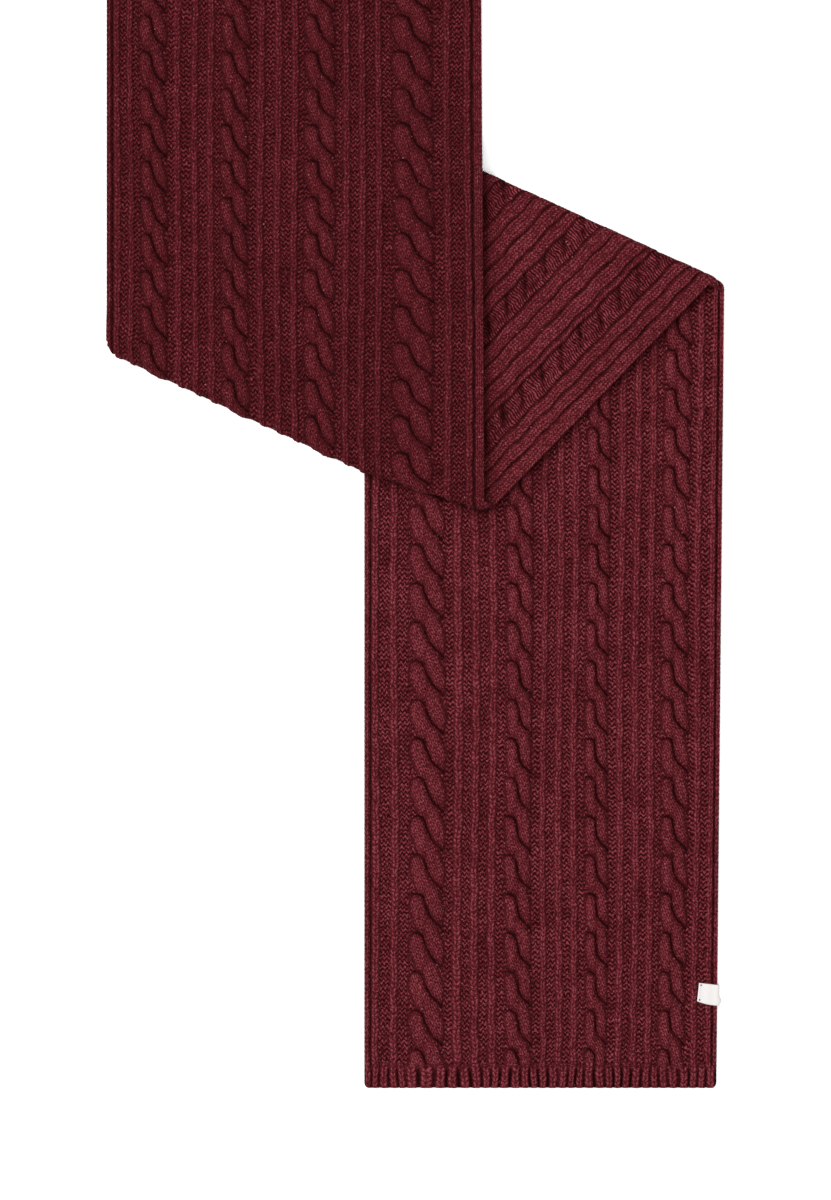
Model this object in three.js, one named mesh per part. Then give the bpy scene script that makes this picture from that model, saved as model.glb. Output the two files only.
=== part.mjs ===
// Chunky cable-knit scarf, laid flat in a Z fold. One knitted strip lies in three stretches:
// the lower one right side up, the middle one wrong side up on the diagonal, and the upper one
// right side up again on top. X runs across the scarf, Y along it and Z up from the floor.
// Ribs and cables are raised in the outer face of each stretch, over a plain underside.

import * as THREE from 'three';

const { clamp, lerp, degToRad, smoothstep } = THREE.MathUtils;

// Driving sizes in millimetres
const HALF_REACH_X = 262.5;
const HALF_REACH_Y = 653.5;
const HEM_LENGTH = 20;

// Thickness of the knit: the purl ground, and how far each form stands above it
const GROUND = 2.2;
const RIB_RISE = 1.4;
const CABLE_RISE = 2.8;
const CREASE_RISE = 1.0;
const SELVEDGE_RISE = 0.5;
const BACK_RIB_RISE = 1.7;
const BACK_BAND_RISE = 0.9;
const HEM_RISE = 1.5;
const RIM_DEPTH = 0.8;
const RIM_RISE = -0.9;

// Heights of the layers: each lies on the one below with a small gap
const LAYER_GAP = 0.3;
const LEVEL = GROUND + CABLE_RISE + LAYER_GAP;

// Bends: the rounded nose of a fold, the seam hidden under it and its rounded corner
const NOSE_RADIUS = (LEVEL + GROUND) / 2;
const NOSE_REACH = NOSE_RADIUS + RIB_RISE;
const NOSE_ANGLES = [-90, -50, -12, 25, 58, 90];
const SEAM_INSET = 9.3;
const NOSE_END_INSET = 13.3;
const CORNER_RADIUS = 8;
const HIDDEN_SEAM_INSET = SEAM_INSET + 1.2;
const THIN_END_LENGTH = 9.5;
const THIN_END_DROP = 1.4;
const OPEN_EDGE = 2;
const OPEN_EDGE_LEVEL = GROUND + RIB_RISE + LAYER_GAP;

// Plan of the two folds. A fold line is given by its ends, left and right
const FOLD_ONE = { left: [-43.5, 172.5], right: [262.3, 32.5] };
const FOLD_TWO = { left: [-262.5, -29.6], kink: [-44.5, -132], right: [58.4, -164.9] };
const FOLD_ONE_SHIFT = 7.2;
const FOLD_TWO_SHIFT = 2.2;

// Plan of the long edges
const LOWER_LEFT = -43.5;
const LOWER_RIGHT_AT_HEM = 255.6;
const UPPER_LEFT = -HALF_REACH_X;
const UPPER_DRAW_IN = 2.5;
const UPPER_DRAW_IN_WIDTH = 40;
const UPPER_DRAW_IN_END_Y = 271;

// Where a stretch steps down to the floor beside the layers under it
const SIDE_RAMP = { top: -62, foot: -87 };
const END_RAMP_LENGTH = 30;
const RAMP_KINK_X = -253.9;
const END_RAMP_CLEARANCE = 1.5;
const RAMP_SHARES = [0.25, 0.5, 0.75];

// How far under the edge of a covering stretch the relief goes on, and where it has gone plain
const COVER_REACH = 4;
const COVER_FADE = 8;

// Cables: a crossing every few rows, each crease falling across the cable
const LOWER_CABLES = { crossing: 33, phase: 8.25 };
const UPPER_CABLES = { crossing: 31, phase: 23.75 };
const BACK_CABLES = { crossing: 16, phase: 4 };
const CREASE_DROP = 0.75;
const ROW_MARGIN = 2;

// Hem ribs
const HEM_RIBS = 36;
const HEM_LIP = 1.2;
const HEM_CORNER = 3;
const HEM_VALLEY_RISE = -0.3;
const HEM_RIB_SHARES = [0.22, 0.78];

// Label
const LABEL = {
  length: 17, leaf: 15, thickness: 0.8, bend: 2.4, beyondEdge: 0.2, turnDown: -20,
  y: -574.6, tilt: -9,
};

const MERGE_DISTANCE = 0.01;
const HALVINGS = 48;

// Rows round a bend are numbered from here, ahead of every place along a stretch
const BEFORE_ALL = 10000;

// Ribs and cables across the strip, in millimetres from the edge on the right of the lower stretch
// and on the left of the upper one. The stitches spread a little more in the upper stretch.
const WALES = [
  { kind: 'rib', lower: [4.9, 9.8], upper: [6.0, 11.9] },
  { kind: 'rib', lower: [16.6, 22.5], upper: [17.9, 23.0] },
  { kind: 'cable', lower: [26.8, 50.6], upper: [28.1, 51.9] },
  { kind: 'rib', lower: [55.7, 61.6], upper: [57.8, 63.8] },
  { kind: 'rib', lower: [68.4, 74.4], upper: [72.7, 78.2] },
  { kind: 'rib', lower: [81.2, 87.1], upper: [85.9, 91.8] },
  { kind: 'cable', lower: [93.9, 114.3], upper: [96.9, 121.6] },
  { kind: 'rib', lower: [120.3, 126.2], upper: [128.4, 134.3] },
  { kind: 'rib', lower: [133.0, 139.0], upper: [142.8, 148.8] },
  { kind: 'rib', lower: [146.6, 151.7], upper: [156.8, 162.8] },
  { kind: 'cable', lower: [158.5, 182.3], upper: [167.5, 194.7] },
  { kind: 'rib', lower: [189.1, 195.9], upper: [200.6, 206.6] },
  { kind: 'rib', lower: [203.6, 210.4], upper: [214.2, 220.2] },
  { kind: 'rib', lower: [218.0, 225.7], upper: [228.2, 234.2] },
  { kind: 'cable', lower: [232.5, 263.1], upper: [242.3, 278.0] },
  { kind: 'rib', lower: [272.4, 279.2], upper: [286.9, 293.3] },
  { kind: 'rib', lower: [286.9, 293.7], upper: [303.5, 309.4] },
];
const TABLE_WIDTH = { lower: 301.3, upper: 320.9 };

// Shares of a rib's or a cable's width, with how much of its rise is reached there
const RIB_SECTION = [[0, 0], [0.24, 1], [0.76, 1], [1, 0]];
const CABLE_SECTION = [[0, 0], [0.12, 0.75], [0.36, 1], [0.64, 1], [0.88, 0.75], [1, 0]];
const BACK_BAND_SECTION = [[0.06, 0], [0.3, 1], [0.7, 1], [0.94, 0]];
const CABLE_ROWS = [
  { share: 0, rise: CREASE_RISE },
  { share: 0.3, rise: CABLE_RISE },
  { share: 0.7, rise: CABLE_RISE },
  { share: 1, rise: CREASE_RISE },
];
const BACK_ROWS = [
  { share: 0, rise: 0 },
  { share: 0.5, rise: BACK_BAND_RISE },
  { share: 1, rise: 0 },
];
const SELVEDGE_SECTION = [0.8, 3.2];
const BACK_RIB_SPREAD = 1;

// Plan geometry

function pointOn(start, end, share) {
  return new THREE.Vector2(lerp(start[0], end[0], share), lerp(start[1], end[1], share));
}

function lineHeight(start, end, x) {
  return lerp(start[1], end[1], (x - start[0]) / (end[0] - start[0]));
}

function foldOneHeight(x) {
  return lineHeight(FOLD_ONE.left, FOLD_ONE.right, x);
}

function foldTwoHeight(x) {
  const side = x < FOLD_TWO.kink[0] ? FOLD_TWO.left : FOLD_TWO.right;
  return lineHeight(FOLD_TWO.kink, side, x);
}

// Inward normals of the folds, pointing into the scarf
function foldOneNormal() {
  const { left, right } = FOLD_ONE;
  return new THREE.Vector2(right[1] - left[1], left[0] - right[0]).normalize();
}

function foldTwoNormal(x) {
  const side = x < FOLD_TWO.kink[0] ? FOLD_TWO.left : FOLD_TWO.right;
  const normal = new THREE.Vector2(FOLD_TWO.kink[1] - side[1], side[0] - FOLD_TWO.kink[0]).normalize();
  return normal.y < 0 ? normal.negate() : normal;
}

// The strip moves sideways as it turns round a bend, so the middle stretch starts further left
const FOLD_ONE_ALONG = new THREE.Vector2(
  FOLD_ONE.left[0] - FOLD_ONE.right[0], FOLD_ONE.left[1] - FOLD_ONE.right[1],
).normalize();
const MIDDLE_START = {
  right: new THREE.Vector2(...FOLD_ONE.right).addScaledVector(FOLD_ONE_ALONG, FOLD_ONE_SHIFT).toArray(),
  left: new THREE.Vector2(...FOLD_ONE.left).addScaledVector(FOLD_ONE_ALONG, FOLD_ONE_SHIFT).toArray(),
};
const MIDDLE_END = {
  right: [FOLD_TWO.right[0] + FOLD_TWO_SHIFT, foldTwoHeight(FOLD_TWO.right[0] + FOLD_TWO_SHIFT)],
  left: [FOLD_TWO.left[0] + FOLD_TWO_SHIFT, foldTwoHeight(FOLD_TWO.left[0] + FOLD_TWO_SHIFT)],
};

// Height of the surface that the middle stretch lies on: the lower stretch, then the floor
function middleSupport(x) {
  return LEVEL * clamp((x - SIDE_RAMP.foot) / (SIDE_RAMP.top - SIDE_RAMP.foot), 0, 1);
}

// Where the upper stretch starts to step down, past the far edge of the layers under it
function upperRampStart(x) {
  const hiddenEdge = lineHeight(MIDDLE_END.left, MIDDLE_START.left, x);
  const pastLayers = Math.min(foldOneHeight(x), hiddenEdge) + END_RAMP_CLEARANCE;
  const pastNose = foldTwoHeight(x) + NOSE_END_INSET / foldTwoNormal(x).y;
  return Math.max(pastLayers, pastNose);
}

function upperSupport(x, y) {
  const down = smoothstep((y - upperRampStart(x)) / END_RAMP_LENGTH, 0, 1);
  return (LEVEL + middleSupport(x)) * (1 - down);
}

// Edge of what covers the lower stretch: the upper stretch's bend, then the middle stretch's edge
function coverHeight(x) {
  return Math.max(foldTwoHeight(x), lineHeight(MIDDLE_END.right, MIDDLE_START.right, x));
}

// Skin: merged points and triangles of one closed body

class Skin {
  constructor() {
    this.coordinates = [];
    this.faces = [];
    this.known = new Map();
  }

  point(x, y, z) {
    const name = [x, y, z].map((value) => Math.round(value / MERGE_DISTANCE)).join(' ');
    if (!this.known.has(name)) {
      this.known.set(name, this.coordinates.length / 3);
      this.coordinates.push(x, y, z);
    }
    return this.known.get(name);
  }

  face(a, b, c) {
    if (a !== b && b !== c && c !== a) this.faces.push(a, b, c);
  }

  // Fills the strip between two rows of points. The faces look towards (second - first) x forward
  stitch(first, second, order) {
    let i = 0;
    let j = 0;
    while (i < first.length - 1 || j < second.length - 1) {
      const secondDone = j === second.length - 1;
      const firstDone = i === first.length - 1;
      if (secondDone || (!firstDone && first[i + 1][order] <= second[j + 1][order])) {
        this.face(first[i].id, second[j].id, first[i + 1].id);
        i += 1;
      } else {
        this.face(first[i].id, second[j].id, second[j + 1].id);
        j += 1;
      }
    }
  }

  stitchLines(first, second, orders = ['along']) {
    first.sections.forEach((section, k) => {
      this.stitch(section, second.sections[k], orders[Math.min(k, orders.length - 1)]);
    });
  }

  mesh(name, colour) {
    const geometry = new THREE.BufferGeometry();
    geometry.setAttribute('position', new THREE.Float32BufferAttribute(this.coordinates, 3));
    geometry.setIndex(this.faces);
    return finished(name, geometry, colour);
  }
}

function finished(name, geometry, colour) {
  const material = new THREE.MeshStandardMaterial({ color: colour, roughness: 0.92, metalness: 0 });
  const mesh = new THREE.Mesh(geometry, material);
  mesh.name = name;
  return mesh;
}

// Columns: the lines that run along a stretch, from its first edge to its last

function edgeColumns(width) {
  const roll = SELVEDGE_SECTION.map((across) => ({ across, rise: SELVEDGE_RISE }));
  const mirrored = roll.map(({ across, rise }) => ({ across: width - across, rise })).reverse();
  return {
    first: [{ across: 0, rise: RIM_RISE }, ...roll],
    last: [...mirrored, { across: width, rise: RIM_RISE }],
  };
}

function rightSideColumns(layout, width) {
  const scale = width / TABLE_WIDTH[layout];
  const { first, last } = edgeColumns(width);
  const between = WALES.flatMap((wale) => {
    const [from, to] = wale[layout].map((across) => across * scale);
    const section = wale.kind === 'cable' ? CABLE_SECTION : RIB_SECTION;
    return section.map(([share, part]) => ({
      across: lerp(from, to, share),
      rise: wale.kind === 'cable' ? 0 : part * RIB_RISE,
      cable: wale.kind === 'cable' ? { share, part, from } : null,
    }));
  });
  return [...first, ...between, ...last];
}

// On the wrong side the purl wales between the ribs stand up, and the cables lie in shallow bands
function wrongSideColumns(width) {
  const scale = width / TABLE_WIDTH.lower;
  const { first, last } = edgeColumns(width);
  const between = [];
  WALES.forEach((wale, k) => {
    const [from, to] = wale.lower.map((across) => across * scale);
    if (wale.kind === 'cable') {
      BACK_BAND_SECTION.forEach(([share, part]) => {
        between.push({ across: lerp(from, to, share), rise: 0, cable: { share, part, from } });
      });
    }
    if (k === WALES.length - 1) return;
    const foot = to - BACK_RIB_SPREAD;
    const nextFoot = WALES[k + 1].lower[0] * scale + BACK_RIB_SPREAD;
    RIB_SECTION.forEach(([share, part]) => {
      between.push({ across: lerp(foot, nextFoot, share), rise: part * BACK_RIB_RISE, cable: null });
    });
  });
  return [...first, ...between, ...last];
}

function plainColumns(acrosses) {
  return acrosses.map((across) => ({ across, rise: 0, cable: null }));
}

// Stretch: a strip between a start line at its fold and an end line.
// Places along it are measured from the end line, negative back towards the fold.

class Stretch {
  constructor({ width, plan, support, cover, cables, rows, nose, marks }) {
    Object.assign(this, { width, plan, support, cover, cables, rows, nose, marks });
    this.skin = new Skin();
  }

  vertex(x, y, z, column, along) {
    const share = column.cable ? column.cable.share : 0;
    const slant = along + CREASE_DROP * this.cables.crossing * share;
    return { id: this.skin.point(x, y, z), along, slant, across: column.across };
  }

  // A point of the outer face, raised by the knit and levelled out where another stretch covers it
  outer(column, along, rise) {
    const { x, y } = this.plan(column.across, along);
    const covered = this.cover(x, y);
    const raised = rise === RIM_RISE ? rise : lerp(rise, CABLE_RISE, covered);
    const thinned = this.thin ? this.thin(x, y) : 0;
    return this.vertex(x, y, this.support(x, y) + GROUND + raised - thinned, column, along);
  }

  inner(column, along) {
    const { x, y } = this.plan(column.across, along);
    return this.vertex(x, y, this.support(x, y), column, along);
  }

  // Rows of a cable between two places, following its creases
  cableRows(column, from, to) {
    const { crossing, phase } = this.cables;
    const offset = phase + CREASE_DROP * crossing * column.cable.share;
    const first = Math.floor((-to - offset) / crossing);
    const last = Math.ceil((-from - offset) / crossing);
    const found = [];
    for (let k = last; k >= first; k -= 1) {
      for (const row of this.rows.slice(0, -1).reverse()) {
        const along = -(offset + (k + row.share) * crossing);
        if (along > from + ROW_MARGIN && along < to - ROW_MARGIN) found.push(along);
      }
    }
    return found;
  }

  // The outer face of one column: the bend, then a section for each pair of marks
  outerLine(column) {
    const marks = this.marksAt(column.across);
    const sections = marks.slice(1).map((mark, k) => {
      const start = marks[k];
      const within = this.rowsWithin(column, start, mark, this.marks[k].kind);
      const rows = [start, ...within, mark];
      return rows.map((along) => this.outer(column, along, this.riseAt(column, along)));
    });
    if (this.nose) sections.unshift(this.noseSection(column, sections[0][0]));
    return { across: column.across, sections };
  }

  // How far a column stands above the ground, which along a cable goes from crease to crease
  riseAt(column, along) {
    if (!column.cable) return column.rise;
    const { crossing, phase } = this.cables;
    const turns = (-along - phase) / crossing - CREASE_DROP * column.cable.share;
    const share = turns - Math.floor(turns);
    const next = this.rows.findIndex((row) => row.share >= share);
    if (next < 1) return column.cable.part * this.rows[0].rise;
    const [low, high] = [this.rows[next - 1], this.rows[next]];
    const rise = lerp(low.rise, high.rise, (share - low.share) / (high.share - low.share));
    return column.cable.part * rise;
  }

  rowsWithin(column, start, end, kind) {
    if (kind === 'plain') return [];
    if (column.cable) return this.cableRows(column, start, end);
    return kind === 'ramp' ? RAMP_SHARES.map((share) => lerp(start, end, share)) : [];
  }

  // Marks of one column, in order along it and none past its end
  marksAt(across) {
    const end = this.marks[this.marks.length - 1].place(across);
    let last = -Infinity;
    return this.marks.map(({ place }) => {
      last = Math.min(Math.max(last, place(across)), end);
      return last;
    });
  }

  // Rows round the bend, from the hidden seam under it to its top
  noseSection(column, next) {
    const edge = Math.min(column.across, this.width - column.across);
    const cut = edge < CORNER_RADIUS
      ? CORNER_RADIUS - Math.sqrt(CORNER_RADIUS ** 2 - (CORNER_RADIUS - edge) ** 2) : 0;
    const seam = this.noseVertex(column, SEAM_INSET, 0, 0, 0);
    const top = this.nose.place(column.across, NOSE_REACH, 1);
    const rows = NOSE_ANGLES.map((angle, k) => {
      const turn = degToRad(angle);
      const share = (angle + 90) / 180;
      const along = next.along - NOSE_RADIUS * degToRad(90 - angle);
      const rise = lerp(this.riseAt(column, along), CABLE_RISE, this.cover(top.x, top.y));
      const raised = column.rise === RIM_RISE ? RIM_RISE : rise;
      const radius = NOSE_RADIUS + raised * smoothstep(angle, -90, 0);
      const inset = NOSE_REACH - radius * Math.cos(turn);
      const rounded = inset + cut * (1 - inset / SEAM_INSET);
      return this.noseVertex(column, rounded, share, NOSE_RADIUS + radius * Math.sin(turn), k + 1);
    });
    return [seam, ...rows, next];
  }

  noseVertex(column, inset, share, height, row) {
    const { x, y } = this.nose.place(column.across, inset, share);
    return this.vertex(x, y, this.nose.floor(x) + height, column, row - BEFORE_ALL);
  }

  innerLine(column) {
    const marks = this.marksAt(column.across);
    const sections = marks.slice(1).map((mark, k) => {
      const start = marks[k];
      const shares = this.marks[k].kind === 'ramp' ? [0, ...RAMP_SHARES, 1] : [0, 1];
      return shares.map((share) => this.inner(column, lerp(start, mark, share)));
    });
    if (this.nose) {
      const atOpenEdge = Math.abs(column.across - this.nose.openEdge) < OPEN_EDGE;
      const corner = this.noseVertex(column, SEAM_INSET, 0, atOpenEdge ? OPEN_EDGE_LEVEL : LEVEL, 0);
      sections.unshift([corner, sections[0][0]]);
    }
    return { across: column.across, sections };
  }

  // Closes the body: outer face, underside, both long edges and both ends
  close(outerLines, innerLines, hem) {
    const { skin } = this;
    const firstInner = innerLines[0];
    const lastInner = innerLines[innerLines.length - 1];
    const cableOrders = this.nose ? ['along', 'slant'] : ['slant'];
    outerLines.slice(1).forEach((line, k) => {
      const previous = outerLines[k];
      const inCable = previous.cable && line.cable && previous.cable.from === line.cable.from;
      skin.stitchLines(previous, line, inCable ? cableOrders : ['along']);
    });
    innerLines.slice(1).forEach((line, k) => skin.stitchLines(line, innerLines[k]));
    skin.stitchLines(firstInner, outerLines[0]);
    skin.stitchLines(outerLines[outerLines.length - 1], lastInner);
    skin.stitch(outerLines.map(firstPoint), innerLines.map(firstPoint), 'across');
    if (hem) {
      this.closeHem(outerLines, innerLines, hem);
    } else {
      skin.stitch(innerLines.map(lastPoint), outerLines.map(lastPoint), 'across');
    }
  }

  // The rib hem has its own columns, joined to those of the strip across one row
  closeHem(outerLines, innerLines, hem) {
    const { skin } = this;
    const first = outerLines[0].hem;
    const last = outerLines[outerLines.length - 1].hem;
    const hemLines = [first, ...hem, last];
    hemLines.slice(1).forEach((line, k) => skin.stitch(hemLines[k], line, 'along'));
    skin.stitch(hemLines.map((line) => line[0]), outerLines.map(lastPoint), 'across');
    skin.stitch(innerLines[0].hem, first, 'along');
    skin.stitch(last, innerLines[innerLines.length - 1].hem, 'along');
    innerLines.slice(1).forEach((line, k) => skin.stitch(line.hem, innerLines[k].hem, 'along'));
    const endOf = (line) => line[line.length - 1];
    skin.stitch(innerLines.map((line) => endOf(line.hem)), hemLines.map(endOf), 'across');
  }

  // Three points of a hem line: where it starts, the crest of its lip and its end
  hemLine(column, shortfall) {
    return [
      this.outer(column, HEM_LIP - HEM_LENGTH, column.rise),
      this.outer(column, -HEM_LIP - shortfall, column.rise),
      this.outer(column, -shortfall, column.rise - GROUND / 2),
    ];
  }

  build(outerColumns, innerColumns, withHem) {
    const outerLines = outerColumns.map((column) => ({ ...this.outerLine(column), cable: column.cable }));
    const innerLines = innerColumns.map((column) => this.innerLine(column));
    if (!withHem) {
      this.close(outerLines, innerLines, null);
      return this.skin;
    }
    const rims = [outerLines[0], outerLines[outerLines.length - 1]];
    rims.forEach((line) => {
      const column = { across: line.across, rise: RIM_RISE };
      line.hem = [lastPoint(line), this.outer(column, -HEM_CORNER, RIM_RISE)];
    });
    innerLines.forEach((line) => {
      line.hem = [lastPoint(line), this.inner({ across: line.across }, -RIM_DEPTH)];
    });
    const hem = hemColumns(this.width).map((column) => {
      return this.hemLine(column, column.rise > 0 ? 0 : RIM_DEPTH);
    });
    this.close(outerLines, innerLines, hem);
    return this.skin;
  }
}

function firstPoint(line) {
  return line.sections[0][0];
}

function lastPoint(line) {
  const section = line.sections[line.sections.length - 1];
  return section[section.length - 1];
}

function hemColumns(width) {
  const pitch = width / HEM_RIBS;
  const columns = [];
  for (let k = 0; k < HEM_RIBS; k += 1) {
    const start = k * pitch;
    if (k > 0) columns.push({ across: start, rise: HEM_VALLEY_RISE });
    HEM_RIB_SHARES.forEach((share) => columns.push({ across: start + share * pitch, rise: HEM_RISE }));
  }
  return columns;
}

// Finds where a column crosses a line: side is positive before it and negative after it
function crossing(plan, length, across, side) {
  let before = -length;
  let after = 0;
  const at = (along) => {
    const { x, y } = plan(across, along);
    return side(x, y);
  };
  if (at(before) <= 0) return before;
  if (at(after) > 0) return after;
  for (let step = 0; step < HALVINGS; step += 1) {
    const half = (before + after) / 2;
    if (at(half) > 0) before = half;
    else after = half;
  }
  return before;
}

function between(start, end) {
  const way = start.clone().sub(end);
  const length = way.length();
  return { way: way.normalize(), length };
}

// Lower stretch

const LOWER_WIDTH = FOLD_ONE.right[0] - LOWER_LEFT;

function lowerEnds(across) {
  const share = across / LOWER_WIDTH;
  return {
    start: pointOn(FOLD_ONE.right, FOLD_ONE.left, share),
    end: new THREE.Vector2(lerp(LOWER_RIGHT_AT_HEM, LOWER_LEFT, share), -HALF_REACH_Y),
  };
}

function planBetween(ends) {
  return (across, along) => {
    const { start, end } = ends(across);
    return end.clone().addScaledVector(between(start, end).way, -along);
  };
}

function lengthOf(ends, across) {
  const { start, end } = ends(across);
  return between(start, end).length;
}

function markAt(ends, side) {
  return (across) => crossing(planBetween(ends), lengthOf(ends, across), across, side);
}

function foldOneInset(x, y) {
  return (foldOneHeight(x) - y) * -foldOneNormal().y;
}

function foldTwoInset(x, y) {
  return (y - foldTwoHeight(x)) * foldTwoNormal(x).y;
}

function buildLower() {
  const stretch = new Stretch({
    width: LOWER_WIDTH,
    plan: planBetween(lowerEnds),
    support: () => 0,
    cover: (x, y) => clamp((y - coverHeight(x) - COVER_REACH) / COVER_FADE, 0, 1),
    cables: LOWER_CABLES,
    rows: CABLE_ROWS,
    nose: null,
    marks: [
      { kind: 'plain', place: markAt(lowerEnds, (x, y) => SEAM_INSET + LAYER_GAP - foldOneInset(x, y)) },
      { kind: 'plain', place: markAt(lowerEnds, (x, y) => y - coverHeight(x) - COVER_REACH - COVER_FADE) },
      { kind: 'body', place: markAt(lowerEnds, (x, y) => y - coverHeight(x) - COVER_REACH) },
      { kind: 'end', place: () => -HEM_LENGTH - HEM_LIP },
    ],
  });
  const inner = plainColumns([RIM_DEPTH, LOWER_WIDTH / 2, LOWER_WIDTH - RIM_DEPTH]);
  return stretch.build(rightSideColumns('lower', LOWER_WIDTH), inner, true);
}

// Middle stretch

const MIDDLE_WIDTH = LOWER_WIDTH;
const MIDDLE_INNER_COLUMNS = 24;

function middleEnds(across) {
  const share = across / MIDDLE_WIDTH;
  const end = pointOn(MIDDLE_END.right, MIDDLE_END.left, share);
  end.y = foldTwoHeight(end.x);
  return { start: pointOn(MIDDLE_START.right, MIDDLE_START.left, share), end };
}

function middleNosePlace(across, inset, share) {
  const lower = lowerEnds(across);
  const middle = middleEnds(across);
  const base = lower.start.clone().lerp(middle.start, share);
  const lowerWay = between(lower.end, lower.start).way;
  const middleWay = between(middle.end, middle.start).way;
  const way = lowerWay.lerp(middleWay, share).normalize();
  return base.addScaledVector(way, inset / way.dot(foldOneNormal()));
}

function buildMiddle() {
  const upperEdge = FOLD_TWO.right[0] - COVER_REACH;
  const stretch = new Stretch({
    width: MIDDLE_WIDTH,
    plan: planBetween(middleEnds),
    support: (x) => middleSupport(x),
    cover: (x) => clamp((upperEdge - x) / COVER_FADE, 0, 1),
    cables: BACK_CABLES,
    rows: BACK_ROWS,
    nose: { place: middleNosePlace, floor: () => 0, openEdge: 0 },
    marks: [
      { kind: 'body', place: markAt(middleEnds, (x, y) => NOSE_END_INSET - foldOneInset(x, y)) },
      { kind: 'plain', place: markAt(middleEnds, (x) => x - upperEdge) },
      { kind: 'plain', place: markAt(middleEnds, (x) => x - upperEdge + COVER_FADE) },
      { kind: 'plain', place: markAt(middleEnds, (x) => x - SIDE_RAMP.top) },
      { kind: 'plain', place: markAt(middleEnds, (x) => x - SIDE_RAMP.foot) },
      { kind: 'end', place: markAt(middleEnds, (x, y) => foldTwoInset(x, y) - HIDDEN_SEAM_INSET) },
    ],
  });
  stretch.thin = (x, y) => {
    const toSeam = foldTwoInset(x, y) - HIDDEN_SEAM_INSET;
    return x < upperEdge ? THIN_END_DROP * clamp(1 - toSeam / THIN_END_LENGTH, 0, 1) : 0;
  };
  const steps = Array.from({ length: MIDDLE_INNER_COLUMNS - 1 }, (_, k) => {
    return (MIDDLE_WIDTH * (k + 1)) / MIDDLE_INNER_COLUMNS;
  });
  const inner = plainColumns([RIM_DEPTH, ...steps, MIDDLE_WIDTH - RIM_DEPTH]);
  return stretch.build(wrongSideColumns(MIDDLE_WIDTH), inner, false);
}

// Upper stretch

const UPPER_WIDTH = FOLD_TWO.right[0] - UPPER_LEFT;

function upperStart(across) {
  const x = UPPER_LEFT + across;
  return new THREE.Vector2(x, foldTwoHeight(x));
}

function upperPlan(across, along) {
  const y = HALF_REACH_Y + along;
  const nearEdge = clamp(1 - (UPPER_WIDTH - across) / UPPER_DRAW_IN_WIDTH, 0, 1);
  const drawn = clamp((y - FOLD_TWO.right[1]) / (UPPER_DRAW_IN_END_Y - FOLD_TWO.right[1]), 0, 1);
  return new THREE.Vector2(UPPER_LEFT + across - UPPER_DRAW_IN * nearEdge * drawn, y);
}

function upperNosePlace(across, inset, share) {
  const middle = middleEnds(MIDDLE_WIDTH * (1 - across / UPPER_WIDTH));
  const base = middle.end.clone().lerp(upperStart(across), share);
  const middleWay = between(middle.start, middle.end).way;
  const way = middleWay.lerp(new THREE.Vector2(0, 1), share).normalize();
  return base.addScaledVector(way, inset / way.dot(foldTwoNormal(base.x)));
}

function upperMark(height) {
  return (across) => height(UPPER_LEFT + across) - HALF_REACH_Y;
}

function buildUpper() {
  const stretch = new Stretch({
    width: UPPER_WIDTH,
    plan: upperPlan,
    support: upperSupport,
    cover: () => 0,
    cables: UPPER_CABLES,
    rows: CABLE_ROWS,
    nose: { place: upperNosePlace, floor: middleSupport, openEdge: UPPER_WIDTH },
    marks: [
      { kind: 'body', place: upperMark((x) => foldTwoHeight(x) + NOSE_END_INSET / foldTwoNormal(x).y) },
      { kind: 'ramp', place: upperMark((x) => upperRampStart(x)) },
      { kind: 'body', place: upperMark((x) => upperRampStart(x) + END_RAMP_LENGTH) },
      { kind: 'end', place: () => -HEM_LENGTH - HEM_LIP },
    ],
  });
  const bends = [RAMP_KINK_X, SIDE_RAMP.foot, SIDE_RAMP.top, MIDDLE_START.left[0]];
  const breaks = bends.map((x) => x - UPPER_LEFT);
  const inner = plainColumns([RIM_DEPTH, ...breaks, UPPER_WIDTH - RIM_DEPTH]);
  return stretch.build(rightSideColumns('upper', UPPER_WIDTH), inner, true);
}

// Label: a leaf on the ribs, turned down over the selvedge

function buildLabel(colour) {
  const outerRadius = LABEL.bend + LABEL.thickness;
  const turn = degToRad(LABEL.turnDown);
  const profile = new THREE.Shape();
  profile.moveTo(-LABEL.leaf, LABEL.bend);
  profile.lineTo(-LABEL.leaf, outerRadius);
  profile.lineTo(0, outerRadius);
  profile.absarc(0, 0, outerRadius, Math.PI / 2, turn, true);
  profile.lineTo(LABEL.bend * Math.cos(turn), LABEL.bend * Math.sin(turn));
  profile.absarc(0, 0, LABEL.bend, turn, Math.PI / 2, false);
  const geometry = new THREE.ExtrudeGeometry(profile, {
    depth: LABEL.length, bevelEnabled: false, curveSegments: 6,
  });
  geometry.translate(0, 0, -LABEL.length / 2);
  geometry.rotateX(Math.PI / 2);
  const mesh = finished('label', geometry, colour);
  const { start, end } = lowerEnds(0);
  const selvedge = lineHeight([start.y, start.x], [end.y, end.x], LABEL.y);
  mesh.position.set(selvedge - LABEL.beyondEdge, LABEL.y, GROUND + RIB_RISE + LAYER_GAP - LABEL.bend);
  mesh.rotation.z = degToRad(LABEL.tilt);
  return mesh;
}

const WINE = 0x6b242c;
const OFF_WHITE = 0xe9e4e0;

const scarf = new THREE.Group();
scarf.name = 'scarf';
scarf.add(buildLower().mesh('lower_stretch', WINE));
scarf.add(buildMiddle().mesh('middle_stretch', WINE));
scarf.add(buildUpper().mesh('upper_stretch', WINE));
scarf.add(buildLabel(OFF_WHITE));

export default scarf;
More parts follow.
